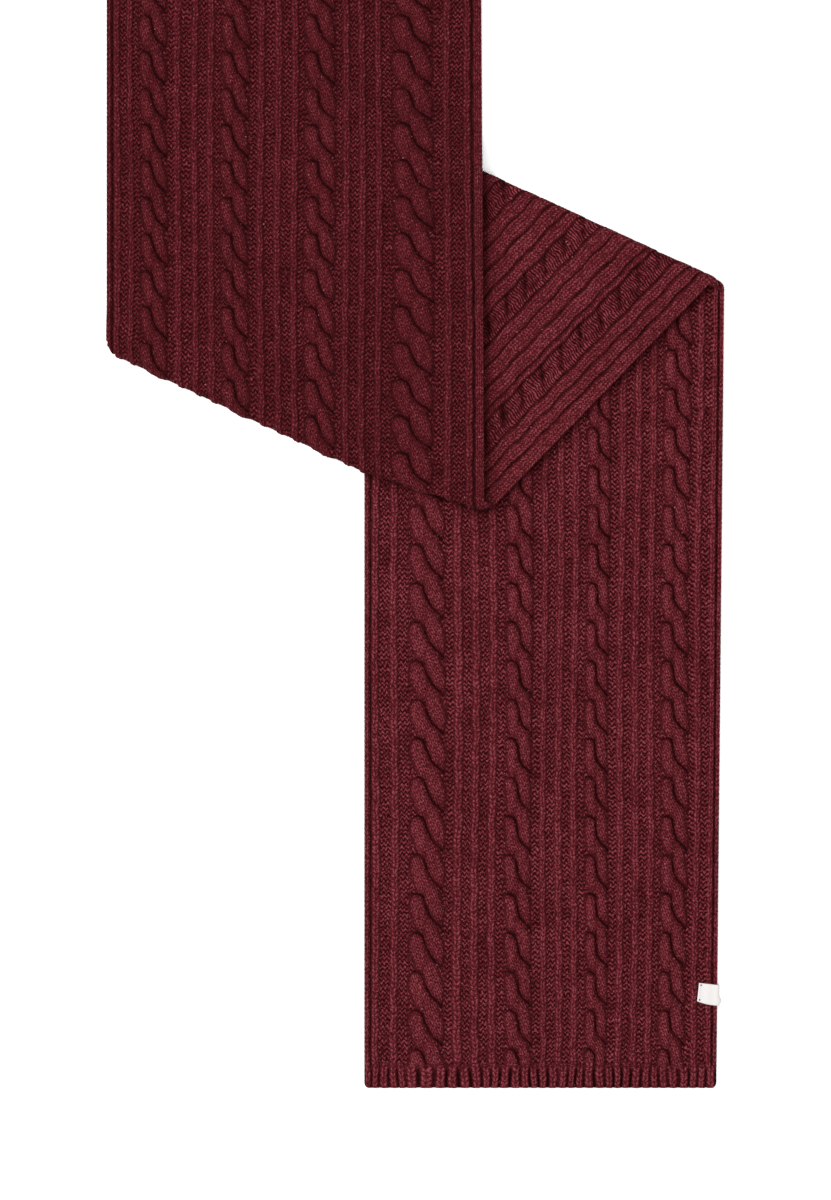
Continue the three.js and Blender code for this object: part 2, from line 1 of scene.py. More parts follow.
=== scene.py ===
# Chunky cable-knit scarf in wine-red wool, lying flat in a Z fold on a pale floor.
# The strip lies in three stretches: the lower one right side up, the middle one wrong side up on
# the diagonal, and the upper one right side up on top. Sizes are in millimetres until a piece is
# made, and MM turns them into metres. The floor, the lights and the camera are in metres.

import math

import bmesh
import bpy
import numpy as np
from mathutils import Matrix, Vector


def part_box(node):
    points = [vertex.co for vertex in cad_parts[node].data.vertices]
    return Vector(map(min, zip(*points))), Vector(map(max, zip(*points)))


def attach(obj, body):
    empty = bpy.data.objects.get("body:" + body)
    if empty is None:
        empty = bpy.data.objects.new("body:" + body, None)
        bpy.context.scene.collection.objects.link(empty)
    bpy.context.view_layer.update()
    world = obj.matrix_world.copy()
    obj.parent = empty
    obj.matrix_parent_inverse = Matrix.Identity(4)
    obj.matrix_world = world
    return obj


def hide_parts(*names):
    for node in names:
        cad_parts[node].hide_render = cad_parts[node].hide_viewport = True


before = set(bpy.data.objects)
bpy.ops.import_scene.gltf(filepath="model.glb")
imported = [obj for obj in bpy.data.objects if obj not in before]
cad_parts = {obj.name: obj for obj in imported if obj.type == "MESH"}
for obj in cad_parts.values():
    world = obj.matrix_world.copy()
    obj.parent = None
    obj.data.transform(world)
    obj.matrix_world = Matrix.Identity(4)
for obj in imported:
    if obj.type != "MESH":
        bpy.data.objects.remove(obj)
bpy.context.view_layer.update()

MM = 0.001

# Plan of the folded strip, from the solids: the two fold lines and the long edges
HALF_REACH_X = 262.5
HALF_REACH_Y = 653.5
FOLD_ONE_LEFT = np.array([-43.5, 172.5])
FOLD_ONE_RIGHT = np.array([262.3, 32.5])
FOLD_TWO_LEFT = np.array([-262.5, -29.6])
FOLD_TWO_KINK = np.array([-44.5, -132.0])
FOLD_TWO_RIGHT = np.array([58.4, -164.9])
FOLD_ONE_SHIFT = 7.2
FOLD_TWO_SHIFT = 2.2
LOWER_LEFT = -43.5
LOWER_RIGHT_AT_HEM = 255.6
DRAW_IN = 2.5
DRAW_IN_WIDTH = 40.0
DRAW_IN_END_Y = 271.0

# Thickness of the knit and heights of the layers
GROUND = 2.2
LEVEL = 5.3
NOSE_RADIUS = (LEVEL + GROUND) / 2
NOSE_REACH = 5.15
SEAM_INSET = 9.3
OPEN_EDGE_LEVEL = 3.9
CORNER_RADIUS = 7.0
SIDE_RAMP_TOP, SIDE_RAMP_FOOT = -62.0, -87.0
END_RAMP_LENGTH = 30.0
END_RAMP_CLEARANCE = 1.5
NOSE_END_INSET = 13.3
HIDDEN_MARGIN = 12.0
BEND_START = 1.5
CALM_LEAST, CALM_GAIN, CALM_FROM_ANGLE = 0.7, 0.3, 0.5
MIDDLE_WAY_AT = 0.3

# Heights of the knit's face above the ground
RIB_RISE = 1.5
CABLE_RISE = 2.9
RIDGE_RISE = 0.9
EDGE_RISE = 1.1
HEM_RISE, HEM_VALLEY = 1.6, 0.9
PURL_LEVEL = -0.35
GROOVE_LEVEL = -1.1
STITCH_RISE = 0.85
SPECK_RISE = 0.06

# Painted shading: how lit the knit is painted, from 0 in a hollow to 1 on a crest
KNIT_LIT = 0.8
RIB_EDGE_LIT, RIB_LIT_GAIN = 0.55, 0.45
EDGE_LIT, EDGE_LIT_GAIN = 0.35, 0.45
PURL_LIT, PURL_LIT_SPREAD = 0.58, 0.12
GROOVE_LIT, GROOVE_LIT_SPREAD, GROOVE_LIT_RANGE = 0.36, 0.14, (0.1, 0.6)
HEM_LIT = 0.82
HEM_VALLEY_LIT, HEM_VALLEY_SPREAD, HEM_VALLEY_RANGE = 0.13, 0.16, (0.02, 0.6)
UPPER_LIT = 0.7
WRONG_SIDE_LIT = 0.7

# Painted shade beside the edge of a layer that lies over a stretch: how far it reaches, and its
# strength
SHADE_FROM_MIDDLE = (3.5, 0.6)
SHADE_FROM_UPPER = (3.5, 0.45)
SHADE_ON_MIDDLE = (8.0, 0.6)
FAR = 1000.0

# Stitches: the height of a row, the slant and width of a V stitch's legs, and the purl loops
ROW = 4.12
KNIT_SLANT = 0.85
KNIT_LEG = 0.52
PURL_STITCH = 4.0
PURL_WAVE = 0.27
PURL_BASE, PURL_SWELL = 0.7, 0.3
PURL_PHASE = 2.37

# The rib hem: its length, how many ribs lie up to a place across it, and the shape of a rib
HEM_LENGTH = 20.0
HEM_PLACES = [0.0, 36.0, 82.0, 126.0, 205.0, 321.0]
HEM_COUNTS = [0.0, 5.0, 9.0, 14.2, 24.0, 38.5]
HEM_WANDER, HEM_WANDER_LENGTH = 0.1, 5.7
HEM_WALL = (0.48, 0.95)
HEM_WALE = 0.62
HEM_TOP_SPREAD = 0.8
HEM_FADE_BELOW, HEM_FADE_ABOVE = 7.0, 1.0
HEM_VALLEY_END, HEM_VALLEY_END_GAIN = 9.0, 0.3
HEM_SCALLOP, HEM_SCALLOP_LENGTH = 0.7, 3.5
HEM_CORNER = 4.0
HEM_EDGE = 1.7

# Ribs and cables across the strip, in millimetres from the edge on the right of the lower
# stretch and on the left of the upper one. Purl stitches lie between them.
CHART = [
    ("rib", (4.9, 9.8), (6.0, 11.9)),
    ("rib", (16.6, 22.5), (17.9, 23.0)),
    ("cable", (26.8, 50.6), (28.1, 51.9)),
    ("rib", (55.7, 61.6), (57.8, 63.8)),
    ("rib", (68.4, 74.4), (72.7, 78.2)),
    ("rib", (81.2, 87.1), (85.9, 91.8)),
    ("cable", (93.9, 114.3), (96.9, 121.6)),
    ("rib", (120.3, 126.2), (128.4, 134.3)),
    ("rib", (133.0, 139.0), (142.8, 148.8)),
    ("rib", (146.6, 151.7), (156.8, 162.8)),
    ("cable", (158.5, 182.3), (167.5, 194.7)),
    ("rib", (189.1, 195.9), (200.6, 206.6)),
    ("rib", (203.6, 210.4), (214.2, 220.2)),
    ("rib", (218.0, 225.7), (228.2, 234.2)),
    ("cable", (232.5, 263.1), (242.3, 278.0)),
    ("rib", (272.4, 279.2), (286.9, 293.3)),
    ("rib", (288.6, 295.1), (304.9, 311.4)),
]
LOWER_WIDTH = 301.3
UPPER_WIDTH = 320.9
EDGE_WALES = [(3.7, 4.7), (4.5, 7.8)]

RIB_ROUNDNESS = 3.0
EDGE_ROUND = 1.2
OUTSIDE = 10.0

# Cables, for the lower stretch and then the upper one: the length of a crossing, where a crease
# starts, and how deep the notches at the left and right sides are
CROSSINGS = [33.0, 31.0]
CREASE_STARTS = [33.0, 629.75]
NOTCHES = [(0.2, 0.16), (0.25, 0.2)]
NOTCH_ROUND_END = 0.13
NOTCH_LEFT_GROWTH, NOTCH_RIGHT_GROWTH = 0.35, 0.45
NOTCH_CLOSING = 1.3

# How far a cable's crease has fallen, in crossings, at shares of the cable's width from its left
CREASE_PLACES = [0.0, 0.05, 0.12, 0.22, 0.3, 0.38, 0.43, 0.48, 0.53, 0.6, 0.71, 0.86, 0.95, 1.0]
CREASE_FALLS = [0.14, 0.06, 0.01, 0.0, 0.02, 0.07, 0.15, 0.32, 0.47, 0.6, 0.71, 0.81, 0.9, 1.0]
CREASE_STEP = 0.02
CREASE_LEFT_FADE = 0.3
CREASE_RIGHT_FADE, CREASE_RIGHT_FADE_FROM = 0.3, 0.85
CREASE_LEAST, CREASE_GAIN = 0.25, 0.75
# Painted shade along a crease: its strength and reach, how much the dark line along it varies, and
# the darkest it gets
CREASE_SHADE, CREASE_SHADE_REACH = 0.42, 4.0
CREASE_UNEVEN = 0.3
DEEPEST = 0.95
NO_CREASE = 50.0
LOBE_ROUNDNESS, LOBE_FULLNESS = 2.6, 0.8
LOBE_FOOT = 0.3
LOBE_EDGE_LIT, LOBE_LIT_GAIN, LOBE_LIT_FROM = 0.35, 0.65, 0.65
STRAND_DIP = 0.75
STRAND_STEEP, STRAND_STEEP_REACH = 0.4, 3.0
STRAND_SLOW, STRAND_SLOW_REACH = 0.35, 9.0
STRAND_WAY = (0.42, 0.907)
STRAND_WALE = 3.9
STRAND_ROW = 3.5

# On the wrong side the edge of the strip lies wider than on the right side
WRONG_SIDE_FROM = [0.0, 7.35, 19.55, 38.7, 58.6, 400.0]
WRONG_SIDE_TO = [0.0, 12.6, 23.3, 43.4, 58.6, 400.0]
WRONG_SIDE_WALE = 5.4
WRONG_SIDE_ROW = 2.6
WRONG_SIDE_RAISED = 0.6
# How dark the painted shade lines along the wrong side's grooves and band edges are, how much they
# vary, and their least
WRONG_SIDE_DEEP, WRONG_SIDE_DEEP_SPREAD, WRONG_SIDE_DEEP_LEAST = 0.7, 0.15, 0.2
GROOVE_WIDTH, GROOVE_DEPTH = 2.0, 0.6
EDGE_GROOVE_WIDTH, EDGE_GROOVE_DEPTH = 1.5, 1.3
# Painted shade across each groove
GROOVE_SHADE = 0.3

# The rough bands behind the cables, with their slanting gashes
BAND_SHARE = 0.8
BAND_LEVEL = 0.3
# How lit the bands are painted, with painted shade at their edges and in the gashes
BAND_LIT, BAND_LIT_SPREAD = 0.88, 0.18
BAND_EDGE, BAND_EDGE_RISE, BAND_EDGE_SHADE = 2.5, 0.4, 0.2
BAND_WALE = 13.0
BAND_RAISED = 0.4
BAND_STROKE, BAND_LEAN, BAND_SWAY = 2.4, 0.12, 0.22
BAND_GASH = 23.5
GASH_LEAN, GASH_WIDTH, GASH_SHADE = 0.35, 0.11, 0.65

# Slow waves: their size, and the lengths that they take across and along the strip
ROW_WAVES = [(0.22, 31.0, 57.0), (0.15, 13.0, -23.0)]
WRONG_SIDE_ROW_WAVE = (0.2, 29.0, 51.0)
SIDE_WAVE = (0.8, 37.0, 61.0)
SIDE_RIPPLE, SIDE_RIPPLE_LENGTH, SIDE_RIPPLE_WIDTH = 0.55, 33.0, 9.0
SIDE_CALM = (2.0, 14.0)
EDGE_BULGE, EDGE_BULGE_WIDTH = 0.6, 3.0
ROW_UNEVEN, WALE_UNEVEN = 0.07, 0.16

# Patterns of unevenness: the size of their cells, and a number that tells them apart
ROW_PATTERN = (4.3, 1)
WALE_PATTERN = (4.7, 2)
WRONG_SIDE_ROW_PATTERN = (4.3, 3)
WRONG_SIDE_WALE_PATTERN = (4.9, 4)
BAND_PATTERN = (4.0, 5)
SPECK_PATTERN = (2.1, 6)
CREASE_PATTERN = (6.0, 8)
GROOVE_PATTERN = (5.0, 9)
STROKE_PATTERN = (6.0, 10)
WRONG_SIDE_CREASE_PATTERN = (7.0, 11)
PURL_PATTERN = (9.0, 12)
PATTERN_STEP = (41.3, 17.7)

SEED = 7
TONE_COUNT = 65536
WALE_PRIME, ROW_PRIME = 7919, 104729
rng = np.random.default_rng(SEED)
STITCH_TONES = rng.normal(0.0, 1.0, TONE_COUNT)


# Small helpers


def smooth(value, low, high):
    share = np.clip((value - low) / (high - low), 0.0, 1.0)
    return share * share * (3.0 - 2.0 * share)


def part_of(value):
    return value - np.floor(value)


def tone_of(wale, row):
    """One steady random value for each stitch."""
    column, line = np.floor(wale).astype(np.int64), np.floor(row).astype(np.int64)
    return STITCH_TONES[(column * WALE_PRIME + line * ROW_PRIME) % TONE_COUNT]


def uneven(across, up, size, kind):
    """Smooth seeded unevenness of a given size, mostly between -1 and 1."""
    x, y = across / size + kind * PATTERN_STEP[0], up / size + kind * PATTERN_STEP[1]
    cell_x, cell_y = np.floor(x), np.floor(y)
    share_x, share_y = smooth(x - cell_x, 0.0, 1.0), smooth(y - cell_y, 0.0, 1.0)
    low = tone_of(cell_x, cell_y) * (1.0 - share_x) + tone_of(cell_x + 1, cell_y) * share_x
    high = tone_of(cell_x, cell_y + 1) * (1.0 - share_x) + tone_of(cell_x + 1, cell_y + 1) * share_x
    return low * (1.0 - share_y) + high * share_y


def wave(across, up, size, width, length):
    return size * np.sin(across / width + up / length)


def rounded(distance, radius):
    """How far a rounded corner lies back, at a distance from the edge."""
    edge = np.clip(distance, 0.0, radius)
    return radius - np.sqrt(radius**2 - (radius - edge) ** 2)


def height_on(start, end, x):
    return start[1] + (end[1] - start[1]) * (x - start[0]) / (end[0] - start[0])


def fold_two_height(x):
    left = height_on(FOLD_TWO_KINK, FOLD_TWO_LEFT, x)
    right = height_on(FOLD_TWO_KINK, FOLD_TWO_RIGHT, x)
    return np.where(x < FOLD_TWO_KINK[0], left, right)


def fold_normal(start, end):
    """The unit normal of a fold line, to the left of the way from start to end."""
    way = (end - start) / np.linalg.norm(end - start)
    return np.array([-way[1], way[0]])


FOLD_ONE_NORMAL = -fold_normal(FOLD_ONE_LEFT, FOLD_ONE_RIGHT)
FOLD_TWO_LEFT_NORMAL = fold_normal(FOLD_TWO_LEFT, FOLD_TWO_KINK)
FOLD_TWO_RIGHT_NORMAL = fold_normal(FOLD_TWO_KINK, FOLD_TWO_RIGHT)
FOLD_ONE_WAY = (FOLD_ONE_LEFT - FOLD_ONE_RIGHT) / np.linalg.norm(FOLD_ONE_LEFT - FOLD_ONE_RIGHT)
MIDDLE_START_RIGHT = FOLD_ONE_RIGHT + FOLD_ONE_WAY * FOLD_ONE_SHIFT
MIDDLE_START_LEFT = FOLD_ONE_LEFT + FOLD_ONE_WAY * FOLD_ONE_SHIFT
MIDDLE_END_RIGHT_X = FOLD_TWO_RIGHT[0] + FOLD_TWO_SHIFT
MIDDLE_END_LEFT_X = FOLD_TWO_LEFT[0] + FOLD_TWO_SHIFT


def fold_two_normals(x):
    left_side = (x < FOLD_TWO_KINK[0])[..., None]
    return np.where(left_side, FOLD_TWO_LEFT_NORMAL, FOLD_TWO_RIGHT_NORMAL)


def between(start, end, share):
    return start + (end - start) * np.asarray(share)[..., None]


def unit(vectors):
    return vectors / np.linalg.norm(vectors, axis=-1, keepdims=True)


def dot(first, second):
    return np.sum(first * second, axis=-1)


# Knitted surfaces. Each works out values for every point: its height above the ground, how lit it
# is painted, from 0 for painted shade in a hollow to 1 on a crest, its place counted in wales and
# in rows, 1 where the stitches are knit or 0 where they are purl, how much they are raised, the
# distance to the nearest crease with how dark the painted shade along that crease is, and how far
# the hem's scallops reach. The distance changes sign from side to side.


def knit_relief(side, row):
    """V stitches. side goes from 0 in the middle of a wale to 1 at its edges."""
    leg = np.clip(1.0 - ((side - 0.5) / KNIT_LEG) ** 2, 0.0, 1.0)
    return leg * np.sin(np.pi * part_of(row - KNIT_SLANT * side))


def purl_relief(wale, row):
    """Purl loops: ridges that wave up and down from stitch to stitch."""
    turn = np.cos(2.0 * np.pi * wale)
    ridge = np.sin(np.pi * part_of(row + PURL_WAVE * turn))
    return ridge * (PURL_BASE + PURL_SWELL * turn * turn)


def stitch_relief(knit):
    side = np.abs(2.0 * part_of(knit["wale"]) - 1.0)
    plain, loops = knit_relief(side, knit["row"]), purl_relief(knit["wale"], knit["row"])
    return (loops + (plain - loops) * knit["knit"] - 0.5) * knit["raised"]


def notch(share, depth, growth):
    """How far a notch between two lobes reaches into a cable: it closes fast along the round end
    of a lobe and slowly along the strand that dives under. share is 0 at the crease."""
    round_end = 1.0 - np.sqrt(1.0 - (1.0 - np.minimum(share / NOTCH_ROUND_END, 1.0)) ** 2)
    strand = np.clip((share - growth) / (1.0 - growth), 0.0, 1.0) ** NOTCH_CLOSING
    return depth * np.maximum(round_end, strand)


def cable(values, inside, c, width, up, layout):
    """A rope cable. c goes from 0 at its left edge to 1 at its right, up is the place along it."""
    crossing = CROSSINGS[layout]
    turns = (CREASE_STARTS[layout] - up) / crossing
    fall = np.interp(c, CREASE_PLACES, CREASE_FALLS)
    steep = np.interp(c + CREASE_STEP, CREASE_PLACES, CREASE_FALLS) - fall
    steep *= crossing / (CREASE_STEP * width)
    share = part_of(turns - fall)
    reach = crossing / np.sqrt(1.0 + steep**2)
    near = np.minimum(share, 1.0 - share) * reach
    left_depth, right_depth = NOTCHES[layout]
    left = notch(part_of(turns - CREASE_FALLS[2]), left_depth, NOTCH_LEFT_GROWTH)
    right = notch(part_of(CREASE_FALLS[-2] - turns), right_depth, NOTCH_RIGHT_GROWTH)
    inner = np.clip((c - left) / (1.0 - left - right), 0.0, 1.0)
    purl = (inner <= 0.0) | (inner >= 1.0)
    dome = (1.0 - np.abs(2.0 * inner - 1.0) ** LOBE_ROUNDNESS) ** LOBE_FULLNESS
    strength = smooth(c, 0.0, CREASE_LEFT_FADE)
    strength *= 1.0 - CREASE_RIGHT_FADE * smooth(c, CREASE_RIGHT_FADE_FROM, 1.0)
    strength = CREASE_LEAST + CREASE_GAIN * strength
    dip = STRAND_DIP - STRAND_STEEP * smooth(near, 0.0, STRAND_STEEP_REACH)
    dip -= STRAND_SLOW * smooth(near, 0.0, STRAND_SLOW_REACH)
    body = 1.0 - strength * dip
    rise = CABLE_RISE * dome * body + PURL_LEVEL * (1.0 - smooth(dome, 0.0, LOBE_FOOT))
    # Painted shade along each crease and toward the lobes' edges
    shade = np.exp(-((near / CREASE_SHADE_REACH) ** 2))
    lit = KNIT_LIT * (1.0 - CREASE_SHADE * strength * shade)
    lit *= LOBE_EDGE_LIT + LOBE_LIT_GAIN * smooth(dome, 0.0, LOBE_LIT_FROM)
    wale = (STRAND_WAY[1] * c * width + STRAND_WAY[0] * up) / STRAND_WALE
    row = (STRAND_WAY[1] * up - STRAND_WAY[0] * c * width) / STRAND_ROW
    # How dark the painted shade line along the crease is
    deep = DEEPEST * strength * (1.0 + CREASE_UNEVEN * uneven(c * width, up, *CREASE_PATTERN))
    made = {
        "height": np.where(purl, PURL_LEVEL, rise),
        "lit": np.where(purl, PURL_LIT, lit),
        "wale": np.where(purl, c * width / PURL_STITCH, wale),
        "row": np.where(purl, values["row"][inside], row),
        "knit": np.where(purl, 0.0, 1.0),
        "crease": np.sin(np.pi * (turns - fall)) * reach / np.pi,
        "deep": np.clip(deep, 0.0, DEEPEST),
    }
    for name, value in made.items():
        values[name][inside] = value


def new_values(shape, row):
    values = {name: np.zeros(shape) for name in ("height", "lit", "wale", "knit", "deep", "hem")}
    values["crease"] = np.full(shape, NO_CREASE)
    values["raised"] = np.ones(shape)
    values["row"] = row.copy()
    return values


def right_side(across, up, layout, width):
    """The right side of the knit, up in the direction of the knitting."""
    slow = wave(across, up, *ROW_WAVES[0]) + wave(across, up, *ROW_WAVES[1])
    row = up / ROW + slow + ROW_UNEVEN * uneven(across, up, *ROW_PATTERN)
    across = across + WALE_UNEVEN * uneven(across, up, *WALE_PATTERN)
    values = new_values(across.shape, row)
    first_edge, last_edge = EDGE_WALES[layout]
    marks = [(-OUTSIDE, first_edge)] + [entry[1 + layout] for entry in CHART]
    marks.append((width - last_edge, width + OUTSIDE))
    kinds = ["edge"] + [entry[0] for entry in CHART] + ["edge"]
    # The lit values below are painted shading: darker toward the edges of ribs and of the edge
    # roll, dark in the purl between, and darkest in the grooves beside the edges
    for k, (kind, (start, end)) in enumerate(zip(kinds, marks)):
        inside = (across >= start) & (across <= end)
        c = (across[inside] - start) / (end - start)
        if kind == "cable":
            from_left = 1.0 - c if layout == 0 else c
            cable(values, inside, from_left, end - start, up[inside], layout)
        elif kind == "edge":
            rim = np.minimum(across[inside], width - across[inside])
            inner = smooth(min(end, width - start) - rim, 0.0, EDGE_ROUND)
            values["height"][inside] = EDGE_RISE * inner
            values["lit"][inside] = EDGE_LIT + EDGE_LIT_GAIN * inner
            values["wale"][inside] = rim / EDGE_WALES[0][0]
            values["knit"][inside] = 1.0
        else:
            dome = np.clip(1.0 - np.abs(2.0 * c - 1.0) ** RIB_ROUNDNESS, 0.0, 1.0)
            values["height"][inside] = RIB_RISE * dome
            values["lit"][inside] = KNIT_LIT * (RIB_EDGE_LIT + RIB_LIT_GAIN * dome)
            values["wale"][inside] = 2.0 * k + c
            values["knit"][inside] = 1.0
        if k + 1 < len(marks):
            gap_end = marks[k + 1][0]
            gap = (across > end) & (across < gap_end)
            count = max(1.0, round(2.0 * (gap_end - end) / PURL_STITCH) / 2.0)
            values["wale"][gap] = PURL_PHASE * k + count * ((across[gap] - end) / (gap_end - end))
            if "edge" in (kind, kinds[k + 1]):
                lit = GROOVE_LIT + GROOVE_LIT_SPREAD * uneven(across, up, *GROOVE_PATTERN)[gap]
                values["height"][gap] = GROOVE_LEVEL
                values["lit"][gap] = np.clip(lit, *GROOVE_LIT_RANGE)
            else:
                change = PURL_LIT_SPREAD * uneven(across, up, *PURL_PATTERN)[gap]
                values["height"][gap] = PURL_LEVEL
                values["lit"][gap] = PURL_LIT * (1.0 + change)
    return values


def wrong_side(across, up):
    """The wrong side: low ridges of fine lines, thin grooves, and rough bands behind the cables."""
    row = up / ROW + wave(across, up, *WRONG_SIDE_ROW_WAVE)
    row = row + ROW_UNEVEN * uneven(across, up, *WRONG_SIDE_ROW_PATTERN)
    across = across + WALE_UNEVEN * uneven(across, up, *WRONG_SIDE_WALE_PATTERN)
    values = new_values(across.shape, row)
    values["knit"] += 1.0
    values["wale"] = across / WRONG_SIDE_WALE
    values["row"] *= ROW / WRONG_SIDE_ROW
    values["raised"] *= WRONG_SIDE_RAISED
    values["height"] += RIDGE_RISE
    values["lit"] += WRONG_SIDE_LIT
    grooves = []
    for kind, (start, end), _ in CHART:
        centre = np.interp((start + end) / 2.0, WRONG_SIDE_FROM, WRONG_SIDE_TO)
        away = np.abs(across - centre)
        if kind == "cable":
            half = (end - start) * BAND_SHARE / 2.0
            grooves += [centre - half, centre + half]
            inside = away < half
            cross = part_of(up / BAND_GASH + GASH_LEAN * (across - centre) / half)
            gash = np.exp(-(((cross - 0.5) / GASH_WIDTH) ** 2))
            gash *= smooth(across - centre, -half, 0.0)
            edge = smooth(away, half - BAND_EDGE, half)
            # Painted shading of the band: uneven, with painted shade in the gashes and at the
            # band's edges
            rough = BAND_LIT + BAND_LIT_SPREAD * uneven(across, up, *BAND_PATTERN)
            rough = rough - GASH_SHADE * gash - BAND_EDGE_SHADE * edge
            stroke = (up + BAND_LEAN * (across - centre)) / BAND_STROKE
            stroke += BAND_SWAY * uneven(across, up, *STROKE_PATTERN)
            values["height"][inside] = (BAND_LEVEL + BAND_EDGE_RISE * edge - gash)[inside]
            values["lit"][inside] = (WRONG_SIDE_LIT * rough)[inside]
            values["wale"][inside] = ((across - centre) / BAND_WALE)[inside]
            values["row"][inside] = stroke[inside]
            values["knit"][inside] = 0.0
            values["raised"][inside] = BAND_RAISED
        else:
            grooves.append(centre)
            at_edge = centre < WRONG_SIDE_TO[3]
            wide = EDGE_GROOVE_WIDTH if at_edge else GROOVE_WIDTH
            groove = np.exp(-((away / (wide / 2.0)) ** 2))
            values["height"] -= groove * (EDGE_GROOVE_DEPTH if at_edge else GROOVE_DEPTH)
            # Painted shade across the groove
            values["lit"] *= 1.0 - GROOVE_SHADE * groove
    for k, groove in enumerate(grooves):
        signed = (across - groove) * (-1.0) ** k
        nearer = np.abs(signed) < np.abs(values["crease"])
        values["crease"] = np.where(nearer, signed, values["crease"])
    # How dark the painted shade lines along the grooves and band edges are
    change = WRONG_SIDE_DEEP_SPREAD * uneven(across, up, *WRONG_SIDE_CREASE_PATTERN)
    values["deep"] = np.clip(WRONG_SIDE_DEEP + change, WRONG_SIDE_DEEP_LEAST, DEEPEST)
    return values


def add_hem(values, across, up_hem, row):
    """The narrow rib at an end of the strip: deep valleys between single wales of V stitches."""
    wale = np.interp(across, HEM_PLACES, HEM_COUNTS)
    wale = wale + HEM_WANDER * np.sin(across / HEM_WANDER_LENGTH)
    x = 2.0 * part_of(wale) - 1.0
    wall = 1.0 - smooth(np.abs(x), *HEM_WALL)
    inside = up_hem < HEM_LENGTH + HEM_TOP_SPREAD * tone_of(wale, wale * 0.0)
    fade = smooth(up_hem, HEM_LENGTH - HEM_FADE_BELOW, HEM_LENGTH + HEM_FADE_ABOVE)
    # Painted shade in the valleys between the hem's ribs, lighter where the hem meets the body
    valley = HEM_VALLEY_LIT + HEM_VALLEY_SPREAD * tone_of(wale + 0.5, wale * 0.0 + 1.0)
    valley = np.clip(valley, *HEM_VALLEY_RANGE)
    valley += HEM_VALLEY_END_GAIN * smooth(up_hem, HEM_LENGTH - HEM_VALLEY_END, HEM_LENGTH)
    height = HEM_RISE * wall - HEM_VALLEY * (1.0 - wall)
    lit = valley + (HEM_LIT - valley) * wall
    values["height"][inside] = (height + (values["height"] - height) * fade)[inside]
    values["lit"][inside] = (lit + (values["lit"] - lit) * fade)[inside]
    values["crease"][inside] = NO_CREASE
    values["hem"] = wall * (1.0 - smooth(up_hem, 0.0, HEM_SCALLOP_LENGTH))
    values["wale"][inside] = (0.5 + HEM_WALE * x + 2.0 * np.floor(wale))[inside]
    values["row"][inside] = row[inside]
    values["knit"][inside] = 1.0


# Where each stretch lies. outer() places points of the upper face and inner() those of the
# underside, both from a place across the strip and a place up it.


def middle_support(x):
    """Height of what the middle stretch lies on: the lower stretch, then the floor."""
    return LEVEL * np.clip((x - SIDE_RAMP_FOOT) / (SIDE_RAMP_TOP - SIDE_RAMP_FOOT), 0.0, 1.0)


def middle_end(share):
    x = MIDDLE_END_RIGHT_X + (MIDDLE_END_LEFT_X - MIDDLE_END_RIGHT_X) * share
    return np.stack([x, fold_two_height(x)], axis=-1)


def corner_cut(across, width):
    """How far a fold's end is rounded back near the long edges."""
    return rounded(np.minimum(across, width - across), CORNER_RADIUS)


def painted_contact_shade(distance, reach, strength):
    """Painted shadow: how lit a stitch is at a distance from the edge of the layer that lies over
    it.
    """
    return 1.0 - strength * np.exp(-np.maximum(distance, 0.0) / reach)


class Lower:
    """The lower stretch, right side up on the floor. Its places count from its right edge."""

    width = LOWER_WIDTH
    layout = 0

    def lines(self, across):
        share = across / self.width
        start = between(FOLD_ONE_RIGHT, FOLD_ONE_LEFT, share)
        end_x = LOWER_RIGHT_AT_HEM + (LOWER_LEFT - LOWER_RIGHT_AT_HEM) * share
        end = np.stack([end_x, np.full(end_x.shape, -HALF_REACH_Y)], axis=-1)
        return start, end

    def reach(self, across):
        start, end = self.lines(across)
        way = unit(start - end)
        up = dot(start - end, way)
        for _ in range(4):
            x = end[..., 0] + way[..., 0] * up
            under = height_on(MIDDLE_START_RIGHT, middle_end(np.array(0.0)), x)
            cover = np.maximum(fold_two_height(x), under) + HIDDEN_MARGIN
            bend = height_on(FOLD_ONE_LEFT, FOLD_ONE_RIGHT, x) - BEND_START
            up = (np.minimum(cover, bend) - end[..., 1]) / way[..., 1]
        return np.zeros(across.shape), up

    def face(self, across, up):
        values = right_side(across, up, self.layout, self.width)
        plan = self.point(across, up)
        x, y = plan[..., 0], plan[..., 1]
        edge = MIDDLE_START_RIGHT - middle_end(np.array(0.0))
        slope = edge[0] / np.linalg.norm(edge)
        from_middle = (height_on(MIDDLE_START_RIGHT, middle_end(np.array(0.0)), x) - y) * slope
        from_middle = np.where(x > MIDDLE_END_RIGHT_X, from_middle, FAR)
        from_upper = (fold_two_height(x) - y) * FOLD_TWO_RIGHT_NORMAL[1]
        from_upper = np.where(x < MIDDLE_END_RIGHT_X, from_upper, FAR)
        # Painted shadow beside the edges of the middle stretch and of the upper stretch's fold,
        # where they lie over the lower stretch
        values["lit"] *= (
            painted_contact_shade(from_middle, *SHADE_FROM_MIDDLE) * painted_contact_shade(from_upper, *SHADE_FROM_UPPER)
        )
        return values

    def point(self, across, up):
        start, end = self.lines(across)
        plan = end + unit(start - end) * up[..., None]
        to_bend = height_on(FOLD_ONE_LEFT, FOLD_ONE_RIGHT, plan[..., 0]) - plan[..., 1]
        cut = rounded(to_bend, CORNER_RADIUS)
        plan[..., 0] -= cut * np.clip(1.0 - across / (2.0 * CORNER_RADIUS), 0.0, 1.0)
        return plan

    def outer(self, across, up, height):
        plan = self.point(across, up)
        return np.dstack([plan, GROUND + height])

    def inner(self, across, up, level):
        plan = self.point(across, up)
        return np.dstack([plan, np.zeros(up.shape)])


